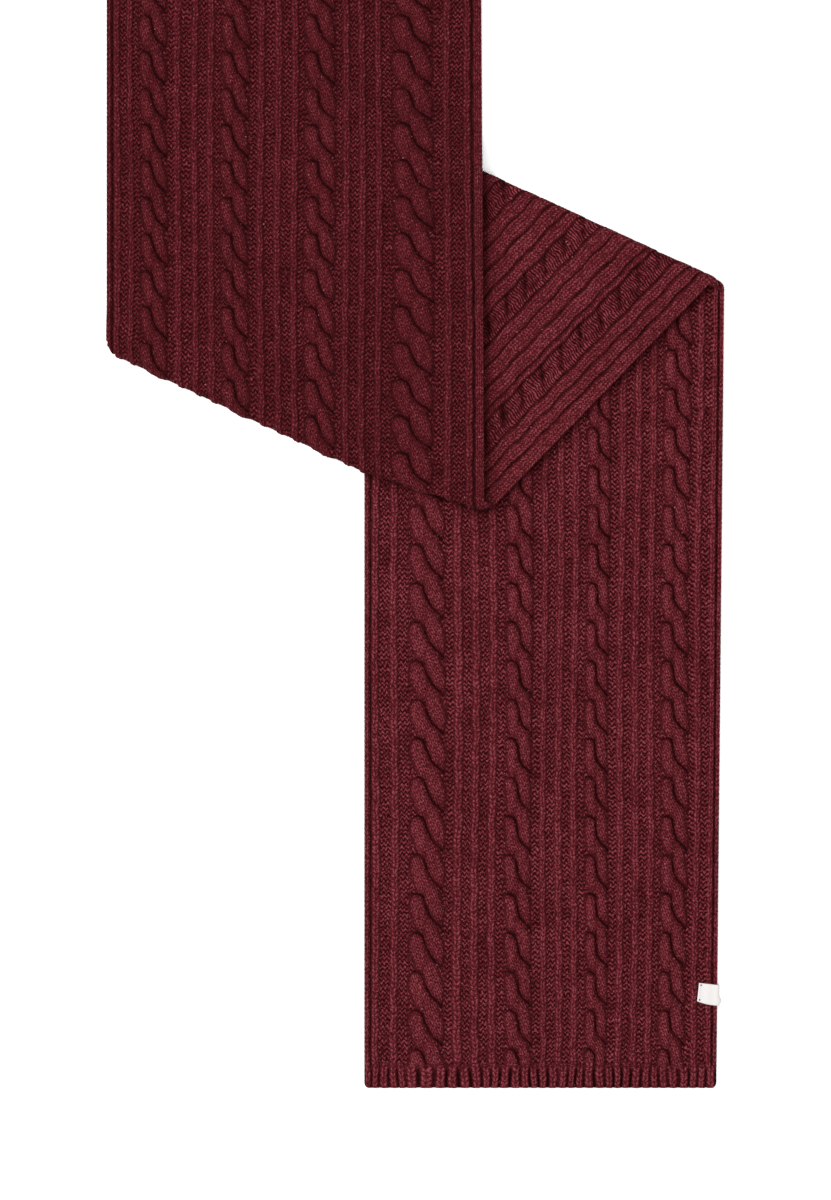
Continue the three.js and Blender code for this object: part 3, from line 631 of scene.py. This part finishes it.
class Folded:
    """A stretch that starts with the rounded bend of a fold."""

    def bend(self, across, up):
        """The way round the bend: its angle, and how far a point lies beyond it."""
        unrolled = self.inset(across, up) - NOSE_REACH + NOSE_RADIUS * math.pi / 2.0
        angle = np.clip(unrolled / NOSE_RADIUS, -math.pi / 2.0, math.pi / 2.0)
        beyond = np.maximum(np.abs(unrolled) - NOSE_RADIUS * math.pi / 2.0, 0.0)
        return angle, beyond

    def outer(self, across, up, height):
        angle, beyond = self.bend(across, up)
        calm = CALM_LEAST + CALM_GAIN * smooth(angle, CALM_FROM_ANGLE, math.pi / 2.0)
        radius = NOSE_RADIUS + height * calm * smooth(angle, -math.pi / 2.0, 0.0)
        inset = NOSE_REACH - radius * np.cos(angle) + beyond
        inset += corner_cut(across, self.width) * np.clip(1.0 - inset / SEAM_INSET, 0.0, 1.0)
        plan = self.bent(across, inset, angle / math.pi + 0.5)
        turned = (angle < math.pi / 2.0 - 1e-6)[..., None]
        plan = np.where(turned, plan, self.point(across, up))
        x, y = plan[..., 0], plan[..., 1]
        floor = self.floor(x)
        round_z = floor + NOSE_RADIUS + radius * np.sin(angle)
        flat_z = self.support(x, y) + GROUND + height
        return np.dstack([plan, np.where(turned[..., 0], round_z, flat_z)])

    def inner(self, across, up, level):
        inset = self.inset(across, up)
        hidden = (inset < SEAM_INSET)[..., None]
        corner = self.bent(across, np.full(up.shape, SEAM_INSET), np.zeros(up.shape))
        plan = np.where(hidden, corner, self.point(across, up))
        x, y = plan[..., 0], plan[..., 1]
        z = np.where(hidden[..., 0], self.floor(x) + level, self.support(x, y))
        return np.dstack([plan, z])

    def lowest(self, across):
        """The place along the strip where the bend ends, under the fold."""
        under = -NOSE_RADIUS * math.pi - (SEAM_INSET - NOSE_REACH)
        return self.at_inset(across, under + NOSE_REACH)


class Middle(Folded):
    """The middle stretch, wrong side up on the diagonal. Its places count from its right edge."""

    width = LOWER_WIDTH
    shown = 216.0
    way = unit(
        middle_end(np.array(MIDDLE_WAY_AT))
        - between(MIDDLE_START_RIGHT, MIDDLE_START_LEFT, MIDDLE_WAY_AT)
    )

    def lines(self, across):
        share = across / self.width
        return between(MIDDLE_START_RIGHT, MIDDLE_START_LEFT, share), middle_end(share)

    def point(self, across, up):
        start, end = self.lines(across)
        way = unit(end - start)
        return start + way * ((up - dot(start, self.way)) / dot(way, self.way))[..., None]

    def slope(self, across):
        start, end = self.lines(across)
        way = unit(end - start)
        return dot(way, FOLD_ONE_NORMAL) / dot(way, self.way), dot(start, self.way)

    def inset(self, across, up):
        slope, first = self.slope(across)
        return (up - first) * slope

    def at_inset(self, across, inset):
        slope, first = self.slope(across)
        return first + inset / slope

    def bent(self, across, inset, share):
        lower_start, lower_end = Lower().lines(across)
        start, end = self.lines(across)
        base = lower_start + (start - lower_start) * share[..., None]
        first_way, last_way = unit(lower_end - lower_start), unit(end - start)
        way = unit(first_way + (last_way - first_way) * share[..., None])
        return base + way * (inset / dot(way, FOLD_ONE_NORMAL))[..., None]

    def floor(self, x):
        return np.zeros(x.shape)

    def support(self, x, y):
        return middle_support(x)

    def reach(self, across):
        start, end = self.lines(across)
        way = unit(end - start)
        shown_x = FOLD_TWO_RIGHT[0] - HIDDEN_MARGIN
        length = np.maximum((shown_x - start[..., 0]) / way[..., 0], 0.0)
        last = dot(start + way * length[..., None], self.way)
        cut = self.at_inset(across, NOSE_END_INSET)
        whole = dot(end, self.way) - SEAM_INSET
        return self.lowest(across), np.minimum(np.maximum(last, cut), whole)

    def face(self, across, up):
        values = wrong_side(across, up)
        x = self.point(across, up)[..., 0]
        # Painted shadow beside the right edge of the upper stretch, which lies over the middle
        values["lit"] *= painted_contact_shade(x - FOLD_TWO_RIGHT[0], *SHADE_ON_MIDDLE)
        return values


class Upper(Folded):
    """The upper stretch, right side up on top. Its places count from its left edge."""

    width = UPPER_WIDTH
    layout = 1

    def point(self, across, up):
        near_edge = np.clip(1.0 - (self.width - across) / DRAW_IN_WIDTH, 0.0, 1.0)
        way_up = (up - FOLD_TWO_RIGHT[1]) / (DRAW_IN_END_Y - FOLD_TWO_RIGHT[1])
        x = across - HALF_REACH_X - DRAW_IN * near_edge * np.clip(way_up, 0.0, 1.0)
        return np.stack([x, up + np.zeros(x.shape)], axis=-1)

    def inset(self, across, up):
        x = across - HALF_REACH_X
        return (up - fold_two_height(x)) * fold_two_normals(x)[..., 1]

    def at_inset(self, across, inset):
        x = across - HALF_REACH_X
        return fold_two_height(x) + inset / fold_two_normals(x)[..., 1]

    def bent(self, across, inset, share):
        x = across - HALF_REACH_X
        top = np.stack([x, fold_two_height(x)], axis=-1)
        middle_share = 1.0 - across / self.width
        under = middle_end(middle_share)
        middle_start = between(MIDDLE_START_RIGHT, MIDDLE_START_LEFT, middle_share)
        base = under + (top - under) * share[..., None]
        first_way = unit(middle_start - under)
        way = unit(first_way + (np.array([0.0, 1.0]) - first_way) * share[..., None])
        normal = fold_two_normals(base[..., 0])
        return base + way * (inset / dot(way, normal))[..., None]

    def floor(self, x):
        return middle_support(x)

    def support(self, x, y):
        hidden_edge = height_on(middle_end(np.array(1.0)), MIDDLE_START_LEFT, x)
        layers = np.minimum(height_on(FOLD_ONE_LEFT, FOLD_ONE_RIGHT, x), hidden_edge)
        nose = fold_two_height(x) + NOSE_END_INSET / fold_two_normals(x)[..., 1]
        start = np.maximum(layers + END_RAMP_CLEARANCE, nose)
        down = smooth(y, start, start + END_RAMP_LENGTH)
        return (LEVEL + middle_support(x)) * (1.0 - down)

    def reach(self, across):
        return self.lowest(across), np.full(across.shape, HALF_REACH_Y)

    def face(self, across, up):
        values = right_side(across, up, self.layout, self.width)
        # Painted shade: the whole upper stretch is painted darker than the others
        values["lit"] *= UPPER_LIT
        return values


# Making a piece


# Places round an open edge, each with its share of the knit's height, and the gap to the face
RIM = [(0.7, 0.0), (0.15, 0.18), (0.0, 0.48), (0.3, 0.8), (0.9, 0.97)]
RIM_TO_FACE = 0.7
RIM_WIDTH = 2.0
COLUMN_SPACING = 1.02
UNDERSIDE_COLUMNS = 14
STEPS_IN_ROW = 4
HEM_ROWS = [0.15, 0.45, 0.8, 1.2]
HEM_ROWS_END = 1.6
SAME_PLACE = 0.01
SHARP_ANGLE = math.radians(78.0)


def columns_across(start, end):
    count = max(2, round((end - start) / COLUMN_SPACING))
    return list(np.linspace(start, end, count + 1))


def tube_columns(start, end, width):
    """Places round the piece, each with its share of the knit's height: up one edge, over the
    face, down the other edge and back along the underside."""
    first = [(across, lift) for across, lift in RIM] if start == 0.0 else [(start, 0.0)]
    last = [(width - across, lift) for across, lift in RIM] if end == width else [(end, 0.0)]
    face_start = RIM[-1][0] + RIM_TO_FACE if start == 0.0 else start
    face_end = width - RIM[-1][0] - RIM_TO_FACE if end == width else end
    face = [(across, 1.0) for across in columns_across(face_start, face_end)]
    low, high = first[0][0], last[0][0]
    under = [(across, 0.0) for across in np.linspace(high, low, UNDERSIDE_COLUMNS)]
    return first + face + last[::-1] + under[1:]


def rows_along(low, high, hem_low, hem_high):
    """Places along the piece, closer together where a hem's end is rounded."""
    rows = list(np.arange(low, high, ROW / STEPS_IN_ROW)) + [high]
    if hem_low:
        rows = [low] + [low + e for e in HEM_ROWS] + [r for r in rows if r > low + HEM_ROWS_END]
    if hem_high:
        rows = [r for r in rows if r < high - HEM_ROWS_END]
        rows += [high - e for e in HEM_ROWS[::-1]] + [high]
    return np.array(rows)


def knitted_piece(name, stretch, start, end, hem_low=False, hem_high=False):
    columns = tube_columns(start, end, stretch.width)
    across = np.array([c[0] for c in columns])
    lift = np.array([c[1] for c in columns])
    low, high = stretch.reach(across)
    corner = rounded(np.minimum(across, stretch.width - across), HEM_CORNER)
    low, high = low + corner * hem_low, high - corner * hem_high
    rows = rows_along(low.min(), high.max(), hem_low, hem_high)
    up = np.clip(rows[None, :], low[:, None], high[:, None])
    across_all = np.repeat(across[:, None], len(rows), axis=1)

    # The knit wanders a little from side to side, and each row bulges at the long edges
    edge_room = np.minimum(across_all, stretch.width - across_all)
    turn = up / SIDE_RIPPLE_LENGTH * 2.0 * math.pi + across_all / SIDE_RIPPLE_WIDTH
    sway = SIDE_RIPPLE * np.sin(turn) + wave(across_all, up, *SIDE_WAVE)
    sway *= smooth(edge_room, *SIDE_CALM)
    bulge = EDGE_BULGE * (np.sin(np.pi * part_of(up / ROW)) - 0.5)
    bulge *= 1.0 - smooth(edge_room, 0.0, EDGE_BULGE_WIDTH)
    side = np.where(across_all < stretch.width / 2.0, -1.0, 1.0)
    wander = (sway + side * bulge) * smooth(lift[:, None], 0.0, 1.0)

    # A hem has its own stitches, and its end is rounded over
    values = stretch.face(across_all, up)
    ends = np.ones(up.shape)
    if hem_low or hem_high:
        to_end = up - low[:, None] if hem_low else high[:, None] - up
        from_side = stretch.width - across_all if hem_low else across_all
        add_hem(values, from_side, to_end, up / ROW)
        ends = np.sqrt(1.0 - (1.0 - np.clip(to_end / HEM_EDGE, 0.0, 1.0)) ** 2)
    speck = uneven(across_all, up, *SPECK_PATTERN)
    height = values["height"] + STITCH_RISE * stitch_relief(values) + SPECK_RISE * speck

    outer = stretch.outer(across_all + wander, up, height)
    outer[..., 1] += HEM_SCALLOP * values["hem"] * (1.0 if hem_high else -1.0)
    rim = np.minimum(across, stretch.width - across) < RIM_WIDTH
    level = np.where(rim, OPEN_EDGE_LEVEL, LEVEL)[:, None]
    inner = stretch.inner(across_all, up, level)
    share = (lift[:, None] * ends)[..., None]
    return closed_tube(name, inner + (outer - inner) * share, values)


def closed_tube(name, places, values):
    """A grid bent into a closed tube, its ends filled, with the stitch values on its points."""
    columns, rows = places.shape[:2]
    shape = bmesh.new()
    bmesh.ops.create_grid(shape, x_segments=columns - 1, y_segments=rows - 1, size=0.5)
    mesh = bpy.data.meshes.new(name)
    shape.to_mesh(mesh)
    shape.free()
    flat = np.empty(len(mesh.vertices) * 3)
    mesh.vertices.foreach_get("co", flat)
    flat = flat.reshape(-1, 3)
    i = np.rint((flat[:, 0] + 0.5) * (columns - 1)).astype(int)
    j = np.rint((flat[:, 1] + 0.5) * (rows - 1)).astype(int)
    mesh.vertices.foreach_set("co", (places[i, j] * MM).ravel())
    for value in ("lit", "wale", "row", "knit", "crease", "deep"):
        layer = mesh.attributes.new(value, "FLOAT", "POINT")
        layer.data.foreach_set("value", values[value][i, j].astype(np.float32))

    shape = bmesh.new()
    shape.from_mesh(mesh)
    bmesh.ops.remove_doubles(shape, verts=shape.verts, dist=SAME_PLACE * MM)
    open_edges = [edge for edge in shape.edges if edge.is_boundary]
    bmesh.ops.holes_fill(shape, edges=open_edges, sides=0)
    for face in shape.faces:
        face.smooth = True
    if shape.calc_volume(signed=True) < 0.0:
        bmesh.ops.reverse_faces(shape, faces=shape.faces)
    shape.to_mesh(mesh)
    shape.free()
    mesh.set_sharp_from_angle(angle=SHARP_ANGLE)
    return place(name, mesh)


def place(name, mesh):
    piece = bpy.data.objects.new(name, mesh)
    bpy.context.scene.collection.objects.link(piece)
    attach(piece, "root")
    return piece


# Materials


# Scales of the patterns, in cells to a metre
WALE_SWAY_SCALE = 330.0
ROW_SWAY_SCALE = 290.0
FIBRE_SCALE = 760.0
PLY_SCALE = 430.0
DYE_SCALE = 24.0
STRAY_SCALE = 470.0
TWIST_SCALE = 1400.0
WEAVE_SCALE = 700.0

# Ranges that a value is stretched from, and then to
CREASE_RANGE = (0.2, 1.8, 1.0, 0.0)
FIBRE_RANGE = (0.28, 0.72, 0.45, 1.55)
PLY_RANGE = (0.28, 0.72, 0.75, 1.25)
DYE_RANGE = (0.3, 0.7, 0.92, 1.08)
STRAY_RANGE = (0.83, 0.9, 0.0, 0.8)

# How far stitches wander, in wales, in rows and in millimetres, and how their loops are rounded
WALE_SWAY, ROW_SWAY, CREASE_SWAY = 0.5, 0.9, 2.2
LEG_SHARPNESS = 1.92
LOOP_POWER, RIDGE_POWER = 0.8, 2.0

# Painted shade of the stitch pattern: how strongly purl stitches darken their hollows, and how much
# knit ones differ from it
PURL_CONTRAST, KNIT_CONTRAST = 1.3, -0.4
PURL_FLOOR, KNIT_FLOOR = 0.01, 0.17

# Bumps: strength, and distance in millimetres
FUZZ_BUMP = (0.5, 0.4)
STITCH_BUMP = (0.6, 0.6)
WEAVE_BUMP = (0.4, 0.1)
WEAVE_DISTORTION = 0.6

# Colours and finishes
# The wool's colour ramp runs from painted shade in the deepest hollows to the crests in full
# painted light
WOOL_DARK, WOOL_PALE = (0.008, 0.0007, 0.0009, 1.0), (0.165, 0.032, 0.042, 1.0)
WOOL_MIDDLE = (0.45, (0.068, 0.0078, 0.0106, 1.0))
STRAY_FIBRE = (0.22, 0.09, 0.1, 1.0)
WOOL_FINISH = {
    "Roughness": 0.92,
    "Specular IOR Level": 0.02,
    "Sheen Weight": 0.04,
    "Sheen Roughness": 0.4,
    "Sheen Tint": (1.0, 0.3, 0.36, 1.0),
}
LABEL_DARK, LABEL_PALE = (0.42, 0.4, 0.39, 1.0), (0.54, 0.52, 0.51, 1.0)
LABEL_FINISH = {"Roughness": 0.7}
WINE_THREAD = ((0.03, 0.004, 0.006, 1.0), (0.08, 0.014, 0.02, 1.0))
PALE_THREAD = ((0.3, 0.22, 0.22, 1.0), (0.45, 0.37, 0.37, 1.0))
THREAD_FINISH = {"Roughness": 0.8}
FLOOR_FINISH = {
    "Base Color": (0.97, 0.97, 0.97, 1.0),
    "Roughness": 0.9,
    "Specular IOR Level": 0.1,
}


def new_material(name, finish):
    material = bpy.data.materials.new(name)
    material.use_nodes = True
    nodes, links = material.node_tree.nodes, material.node_tree.links
    shader = nodes["Principled BSDF"]
    for socket, value in finish.items():
        shader.inputs[socket].default_value = value
    return material, nodes, links, shader


def maths(nodes, links, operation, first, second=None, third=None, clamp=False):
    """A Math node. Its inputs are numbers or other nodes' outputs."""
    node = nodes.new("ShaderNodeMath")
    node.operation = operation
    node.use_clamp = clamp
    for k, value in enumerate((first, second, third)):
        if isinstance(value, (int, float)):
            node.inputs[k].default_value = value
        elif value is not None:
            links.new(value, node.inputs[k])
    return node.outputs["Value"]


def attribute(nodes, name):
    node = nodes.new("ShaderNodeAttribute")
    node.attribute_name = name
    return node.outputs["Fac"]


def noise(nodes, links, where, scale, detail=1.0, roughness=0.5):
    node = nodes.new("ShaderNodeTexNoise")
    node.inputs["Scale"].default_value = scale
    node.inputs["Detail"].default_value = detail
    node.inputs["Roughness"].default_value = roughness
    links.new(where, node.inputs["Vector"])
    return node.outputs["Fac"]


def stretched(nodes, links, value, span):
    """A value taken smoothly from one range to another."""
    node = nodes.new("ShaderNodeMapRange")
    node.interpolation_type = "SMOOTHSTEP"
    for name, number in zip(("From Min", "From Max", "To Min", "To Max"), span):
        node.inputs[name].default_value = number
    links.new(value, node.inputs["Value"])
    return node.outputs["Result"]


def ramp(nodes, links, value, low, high, middle=None):
    """A colour ramp from low to high. middle is a place between them, and its colour."""
    node = nodes.new("ShaderNodeValToRGB")
    colours = node.color_ramp.elements
    colours[0].color = low
    colours[1].color = high
    if middle:
        colours.new(middle[0]).color = middle[1]
    links.new(value, node.inputs["Fac"])
    return node.outputs["Color"]


def bump(nodes, links, height, size, under=None):
    node = nodes.new("ShaderNodeBump")
    node.inputs["Strength"].default_value = size[0]
    node.inputs["Distance"].default_value = size[1] * MM
    links.new(height, node.inputs["Height"])
    if under:
        links.new(under, node.inputs["Normal"])
    return node.outputs["Normal"]


def wine_wool():
    material, nodes, links, shader = new_material("wine_wool", WOOL_FINISH)
    where = nodes.new("ShaderNodeTexCoord").outputs["Object"]
    is_knit = attribute(nodes, "knit")

    def m(operation, first, second=None, third=None, clamp=False):
        return maths(nodes, links, operation, first, second, third, clamp)

    def wandering(scale, size, value):
        spots = noise(nodes, links, where, scale)
        return m("MULTIPLY_ADD", m("SUBTRACT", spots, 0.5), size, value)

    # V stitches: two slanting legs in each wale
    wale = wandering(WALE_SWAY_SCALE, WALE_SWAY, attribute(nodes, "wale"))
    row = wandering(ROW_SWAY_SCALE, ROW_SWAY, attribute(nodes, "row"))
    side = m("ABSOLUTE", m("MULTIPLY_ADD", m("FRACT", wale), 2.0, -1.0))
    off_leg = m("MULTIPLY", m("SUBTRACT", side, 0.5), LEG_SHARPNESS)
    leg = m("SUBTRACT", 1.0, m("MULTIPLY", off_leg, off_leg), clamp=True)
    slant = m("FRACT", m("MULTIPLY_ADD", side, -KNIT_SLANT, row))
    loop = m("POWER", m("SINE", m("MULTIPLY", slant, math.pi)), LOOP_POWER)
    plain = m("MULTIPLY", leg, loop)

    # Purl stitches: ridges that wave up and down from stitch to stitch
    turn = m("COSINE", m("MULTIPLY", wale, 2.0 * math.pi))
    slope = m("FRACT", m("MULTIPLY_ADD", turn, PURL_WAVE, row))
    ridge = m("POWER", m("SINE", m("MULTIPLY", slope, math.pi)), RIDGE_POWER)
    swell = m("MULTIPLY_ADD", m("MULTIPLY", turn, turn), PURL_SWELL, PURL_BASE)
    loops = m("MULTIPLY", ridge, swell)
    stitch = m("MULTIPLY_ADD", m("SUBTRACT", plain, loops), is_knit, loops)

    # Painted shade along the creases between the strands of a cable, and along the grooves of the
    # wrong side
    crease = wandering(ROW_SWAY_SCALE, CREASE_SWAY, attribute(nodes, "crease"))
    near = stretched(nodes, links, m("ABSOLUTE", crease), CREASE_RANGE)
    shade = m("MULTIPLY", near, attribute(nodes, "deep"))
    lit = m("MULTIPLY", attribute(nodes, "lit"), m("SUBTRACT", 1.0, shade))

    # Fibres, each a little lighter or darker, and slow changes of the dye
    fibre = noise(nodes, links, where, FIBRE_SCALE, 2.0, 0.6)
    ply = noise(nodes, links, where, PLY_SCALE)
    dye = noise(nodes, links, where, DYE_SCALE, 2.0)
    fleck = stretched(nodes, links, fibre, FIBRE_RANGE)
    fleck = m("MULTIPLY", fleck, stretched(nodes, links, ply, PLY_RANGE))
    # Painted shade of the stitch pattern: the hollows between stitches are darkened, on top of the
    # painted shading carried in lit
    contrast = m("MULTIPLY_ADD", is_knit, KNIT_CONTRAST, PURL_CONTRAST)
    floor_level = m("MULTIPLY_ADD", is_knit, KNIT_FLOOR, PURL_FLOOR)
    depth = m("MULTIPLY", lit, m("MULTIPLY_ADD", stitch, contrast, floor_level))
    level = m("MULTIPLY", m("MULTIPLY", depth, fleck), stretched(nodes, links, dye, DYE_RANGE))
    yarn = ramp(nodes, links, level, WOOL_DARK, WOOL_PALE, WOOL_MIDDLE)

    # A few stray pale fibres
    spots = noise(nodes, links, where, STRAY_SCALE, 0.0)
    stray = nodes.new("ShaderNodeMix")
    stray.data_type = "RGBA"
    stray.inputs["B"].default_value = STRAY_FIBRE
    links.new(stretched(nodes, links, spots, STRAY_RANGE), stray.inputs["Factor"])
    links.new(yarn, stray.inputs["A"])
    links.new(stray.outputs["Result"], shader.inputs["Base Color"])

    fuzz = bump(nodes, links, fibre, FUZZ_BUMP)
    links.new(bump(nodes, links, stitch, STITCH_BUMP, fuzz), shader.inputs["Normal"])
    return material


def label_cloth():
    material, nodes, links, shader = new_material("label_cloth", LABEL_FINISH)
    weave = nodes.new("ShaderNodeTexWave")
    weave.wave_type = "BANDS"
    weave.bands_direction = "Y"
    weave.inputs["Scale"].default_value = WEAVE_SCALE
    weave.inputs["Distortion"].default_value = WEAVE_DISTORTION
    links.new(nodes.new("ShaderNodeTexCoord").outputs["Object"], weave.inputs["Vector"])
    bands = weave.outputs["Fac"]
    links.new(ramp(nodes, links, bands, LABEL_DARK, LABEL_PALE), shader.inputs["Base Color"])
    links.new(bump(nodes, links, bands, WEAVE_BUMP), shader.inputs["Normal"])
    return material


def thread(name, colours):
    material, nodes, links, shader = new_material(name, THREAD_FINISH)
    where = nodes.new("ShaderNodeTexCoord").outputs["Object"]
    twist = noise(nodes, links, where, TWIST_SCALE)
    links.new(ramp(nodes, links, twist, *colours), shader.inputs["Base Color"])
    return material


# The label: a ribbon folded over the right edge of the lower stretch. Its two left corners are
# tacked down, with a row of small stitches between them.

LABEL_LEFT_NEAR, LABEL_LEFT_FAR = np.array([239.0, -579.6]), np.array([240.7, -564.0])
LABEL_RIGHT_NEAR, LABEL_RIGHT_FAR = np.array([255.7, -583.3]), np.array([256.4, -565.8])
LABEL_BOW = 0.7
LABEL_SAG = 0.12
LABEL_THICKNESS = 0.45
LABEL_LIFT = 0.15
LABEL_TURN_END = math.radians(-70.0)
LABEL_TURN_REACH = 1.9
LABEL_TURN_DEPTH = 0.98
LABEL_BULGE, LABEL_BULGE_PLACE, LABEL_BULGE_LENGTH = 2.2, 0.22, 0.16
LABEL_LEAF_STEPS, LABEL_TURN_STEPS, LABEL_LONG_STEPS = 16, 10, 16
LABEL_TACKS = [(2.0, 14.0), (2.0, 1.9)]
LABEL_TACK_SIZE = (1.3, 1.6, 0.7)
LABEL_STITCH_SIZE = (0.3, 1.1, 0.25)
LABEL_STITCHES = 5
LABEL_STITCH_INSET = 1.8
LABEL_STITCH_SPAN = (0.25, 0.72)
STITCH_SEGMENTS, STITCH_RINGS = 10, 6


def on_label(share, along, top):
    """A place on the label's upper face: share goes from its left edge to the fold, and along goes
    from the near end to the far one."""
    near = LABEL_LEFT_NEAR + (LABEL_RIGHT_NEAR - LABEL_LEFT_NEAR) * share
    far = LABEL_LEFT_FAR + (LABEL_RIGHT_FAR - LABEL_LEFT_FAR) * share
    x, y = near + (far - near) * along
    y -= LABEL_BOW * 4.0 * share * (1.0 - share) * (1.0 - along)
    return x, y, top - LABEL_SAG * (1.0 - math.cos(4.0 * math.pi * share))


def folded_label():
    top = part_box("label")[1][2] / MM + LABEL_LIFT
    steps = LABEL_LEAF_STEPS + LABEL_TURN_STEPS
    shape = bmesh.new()
    bmesh.ops.create_grid(shape, x_segments=steps, y_segments=LABEL_LONG_STEPS, size=0.5)
    for vertex in shape.verts:
        step = (vertex.co.x + 0.5) * steps
        along = vertex.co.y + 0.5
        share = min(step / LABEL_LEAF_STEPS, 1.0)
        x, y, z = on_label(share, along, top)
        turned = max(step - LABEL_LEAF_STEPS, 0.0) / LABEL_TURN_STEPS
        angle = math.pi / 2.0 + (LABEL_TURN_END - math.pi / 2.0) * turned
        from_bulge = (along - LABEL_BULGE_PLACE) / LABEL_BULGE_LENGTH
        reach = LABEL_TURN_REACH + LABEL_BULGE * math.exp(-(from_bulge**2))
        x += reach * math.cos(angle)
        z -= top / 2.0 * (1.0 - math.sin(angle)) * LABEL_TURN_DEPTH
        vertex.co = (x * MM, y * MM, z * MM)
    for face in shape.faces:
        face.smooth = True
    mesh = bpy.data.meshes.new("label_folded_over_edge")
    shape.to_mesh(mesh)
    shape.free()
    label = place("label_folded_over_edge", mesh)
    mesh.materials.append(label_cloth())
    thick = label.modifiers.new("thickness", "SOLIDIFY")
    thick.thickness, thick.offset = LABEL_THICKNESS * MM, -1.0
    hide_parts("label")

    length = np.linalg.norm(LABEL_LEFT_FAR - LABEL_LEFT_NEAR)
    width = np.linalg.norm(LABEL_RIGHT_NEAR - LABEL_LEFT_NEAR)
    tack_places = [on_label(x / width, y / length, top) for x, y in LABEL_TACKS]
    tacks = stitches("label_tack_stitches", tack_places, LABEL_TACK_SIZE)
    tacks.data.materials.append(thread("wine_thread", WINE_THREAD))
    shares = np.linspace(*LABEL_STITCH_SPAN, LABEL_STITCHES)
    edge = [on_label(LABEL_STITCH_INSET / width, share, top) for share in shares]
    row = stitches("label_edge_stitches", edge, LABEL_STITCH_SIZE)
    row.data.materials.append(thread("pale_thread", PALE_THREAD))
    return label, tacks, row


def stitches(name, places, size):
    """Short rounded stitches of thread, each half sunk in what it holds."""
    shape = bmesh.new()
    for where in places:
        ball = bmesh.ops.create_uvsphere(
            shape, u_segments=STITCH_SEGMENTS, v_segments=STITCH_RINGS, radius=0.5 * MM
        )
        bmesh.ops.scale(shape, vec=size, verts=ball["verts"])
        bmesh.ops.translate(shape, vec=[value * MM for value in where], verts=ball["verts"])
    for face in shape.faces:
        face.smooth = True
    mesh = bpy.data.meshes.new(name)
    shape.to_mesh(mesh)
    shape.free()
    return place(name, mesh)


# The pieces. A stretch is split in a purl column, so that each piece's mesh stays small enough.

LOWER_SPLIT = 142.8
UPPER_SPLITS = (124.9, 224.1)
wool = wine_wool()
lower, middle, upper = Lower(), Middle(), Upper()
lower_right = knitted_piece("lower_stretch_right_half", lower, 0.0, LOWER_SPLIT, hem_low=True)
lower_left = knitted_piece(
    "lower_stretch_left_half", lower, LOWER_SPLIT, LOWER_WIDTH, hem_low=True
)
middle_piece = knitted_piece("middle_stretch_wrong_side", middle, 0.0, Middle.shown)
upper_left = knitted_piece(
    "upper_stretch_left_third", upper, 0.0, UPPER_SPLITS[0], hem_high=True
)
upper_middle = knitted_piece(
    "upper_stretch_middle_third", upper, UPPER_SPLITS[0], UPPER_SPLITS[1], hem_high=True
)
upper_right = knitted_piece(
    "upper_stretch_right_third", upper, UPPER_SPLITS[1], UPPER_WIDTH, hem_high=True
)
for piece, node in (
    (lower_right, "lower_stretch"),
    (lower_left, "lower_stretch"),
    (middle_piece, "middle_stretch"),
    (upper_left, "upper_stretch"),
    (upper_middle, "upper_stretch"),
    (upper_right, "upper_stretch"),
):
    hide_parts(node)
    piece.data.materials.append(wool)

label, tacks, edge_stitches = folded_label()

# Floor, light and camera

FLOOR_SIZE = 60.0
SKY_STRENGTH = 1.12
WHITE = (1.0, 1.0, 1.0, 1.0)

# Lights: where each stands, what it faces, its width and length, and its power
KEY_LIGHT = ((-2.6, 0.9, 2.4), (0.0, -0.1, 0.0), (1.6, 1.6), 150.0)
FILL_LIGHT = ((1.8, -1.6, 3.0), (0.0, 0.0, 0.0), (2.5, 2.5), 40.0)

# The photograph is 831 by 1200 pixels at 0.85 mm a pixel, taken from straight above
FRAME_HEIGHT = 1.02
FRAME_CENTRE = (0.0, -0.239)
CAMERA_HEIGHT = 3.2
SENSOR_SIZE = 36.0

bpy.ops.mesh.primitive_plane_add(size=FLOOR_SIZE)
floor = bpy.context.object
floor.name = "floor"
floor.data.materials.append(new_material("pale_floor", FLOOR_FINISH)[0])

world = bpy.data.worlds.new("studio")
bpy.context.scene.world = world
world.use_nodes = True
sky = world.node_tree.nodes["Background"]
sky.inputs["Color"].default_value = WHITE
sky.inputs["Strength"].default_value = SKY_STRENGTH


def area_light(name, location, target, size, power):
    data = bpy.data.lights.new(name, "AREA")
    data.shape = "RECTANGLE"
    data.size, data.size_y = size
    data.energy = power
    light = bpy.data.objects.new(name, data)
    bpy.context.scene.collection.objects.link(light)
    light.location = location
    way = np.array(target) - np.array(location)
    light.rotation_mode = "QUATERNION"
    light.rotation_quaternion = Vector(way).to_track_quat("-Z", "Y")


area_light("key_light", *KEY_LIGHT)
area_light("fill_light", *FILL_LIGHT)

camera_data = bpy.data.cameras.new("camera")
camera = bpy.data.objects.new("camera", camera_data)
bpy.context.scene.collection.objects.link(camera)
camera.location = (*FRAME_CENTRE, CAMERA_HEIGHT)
camera_data.sensor_width = SENSOR_SIZE
camera_data.lens = SENSOR_SIZE * CAMERA_HEIGHT / FRAME_HEIGHT
bpy.context.scene.camera = camera
bpy.context.scene.view_settings.view_transform = "Standard"
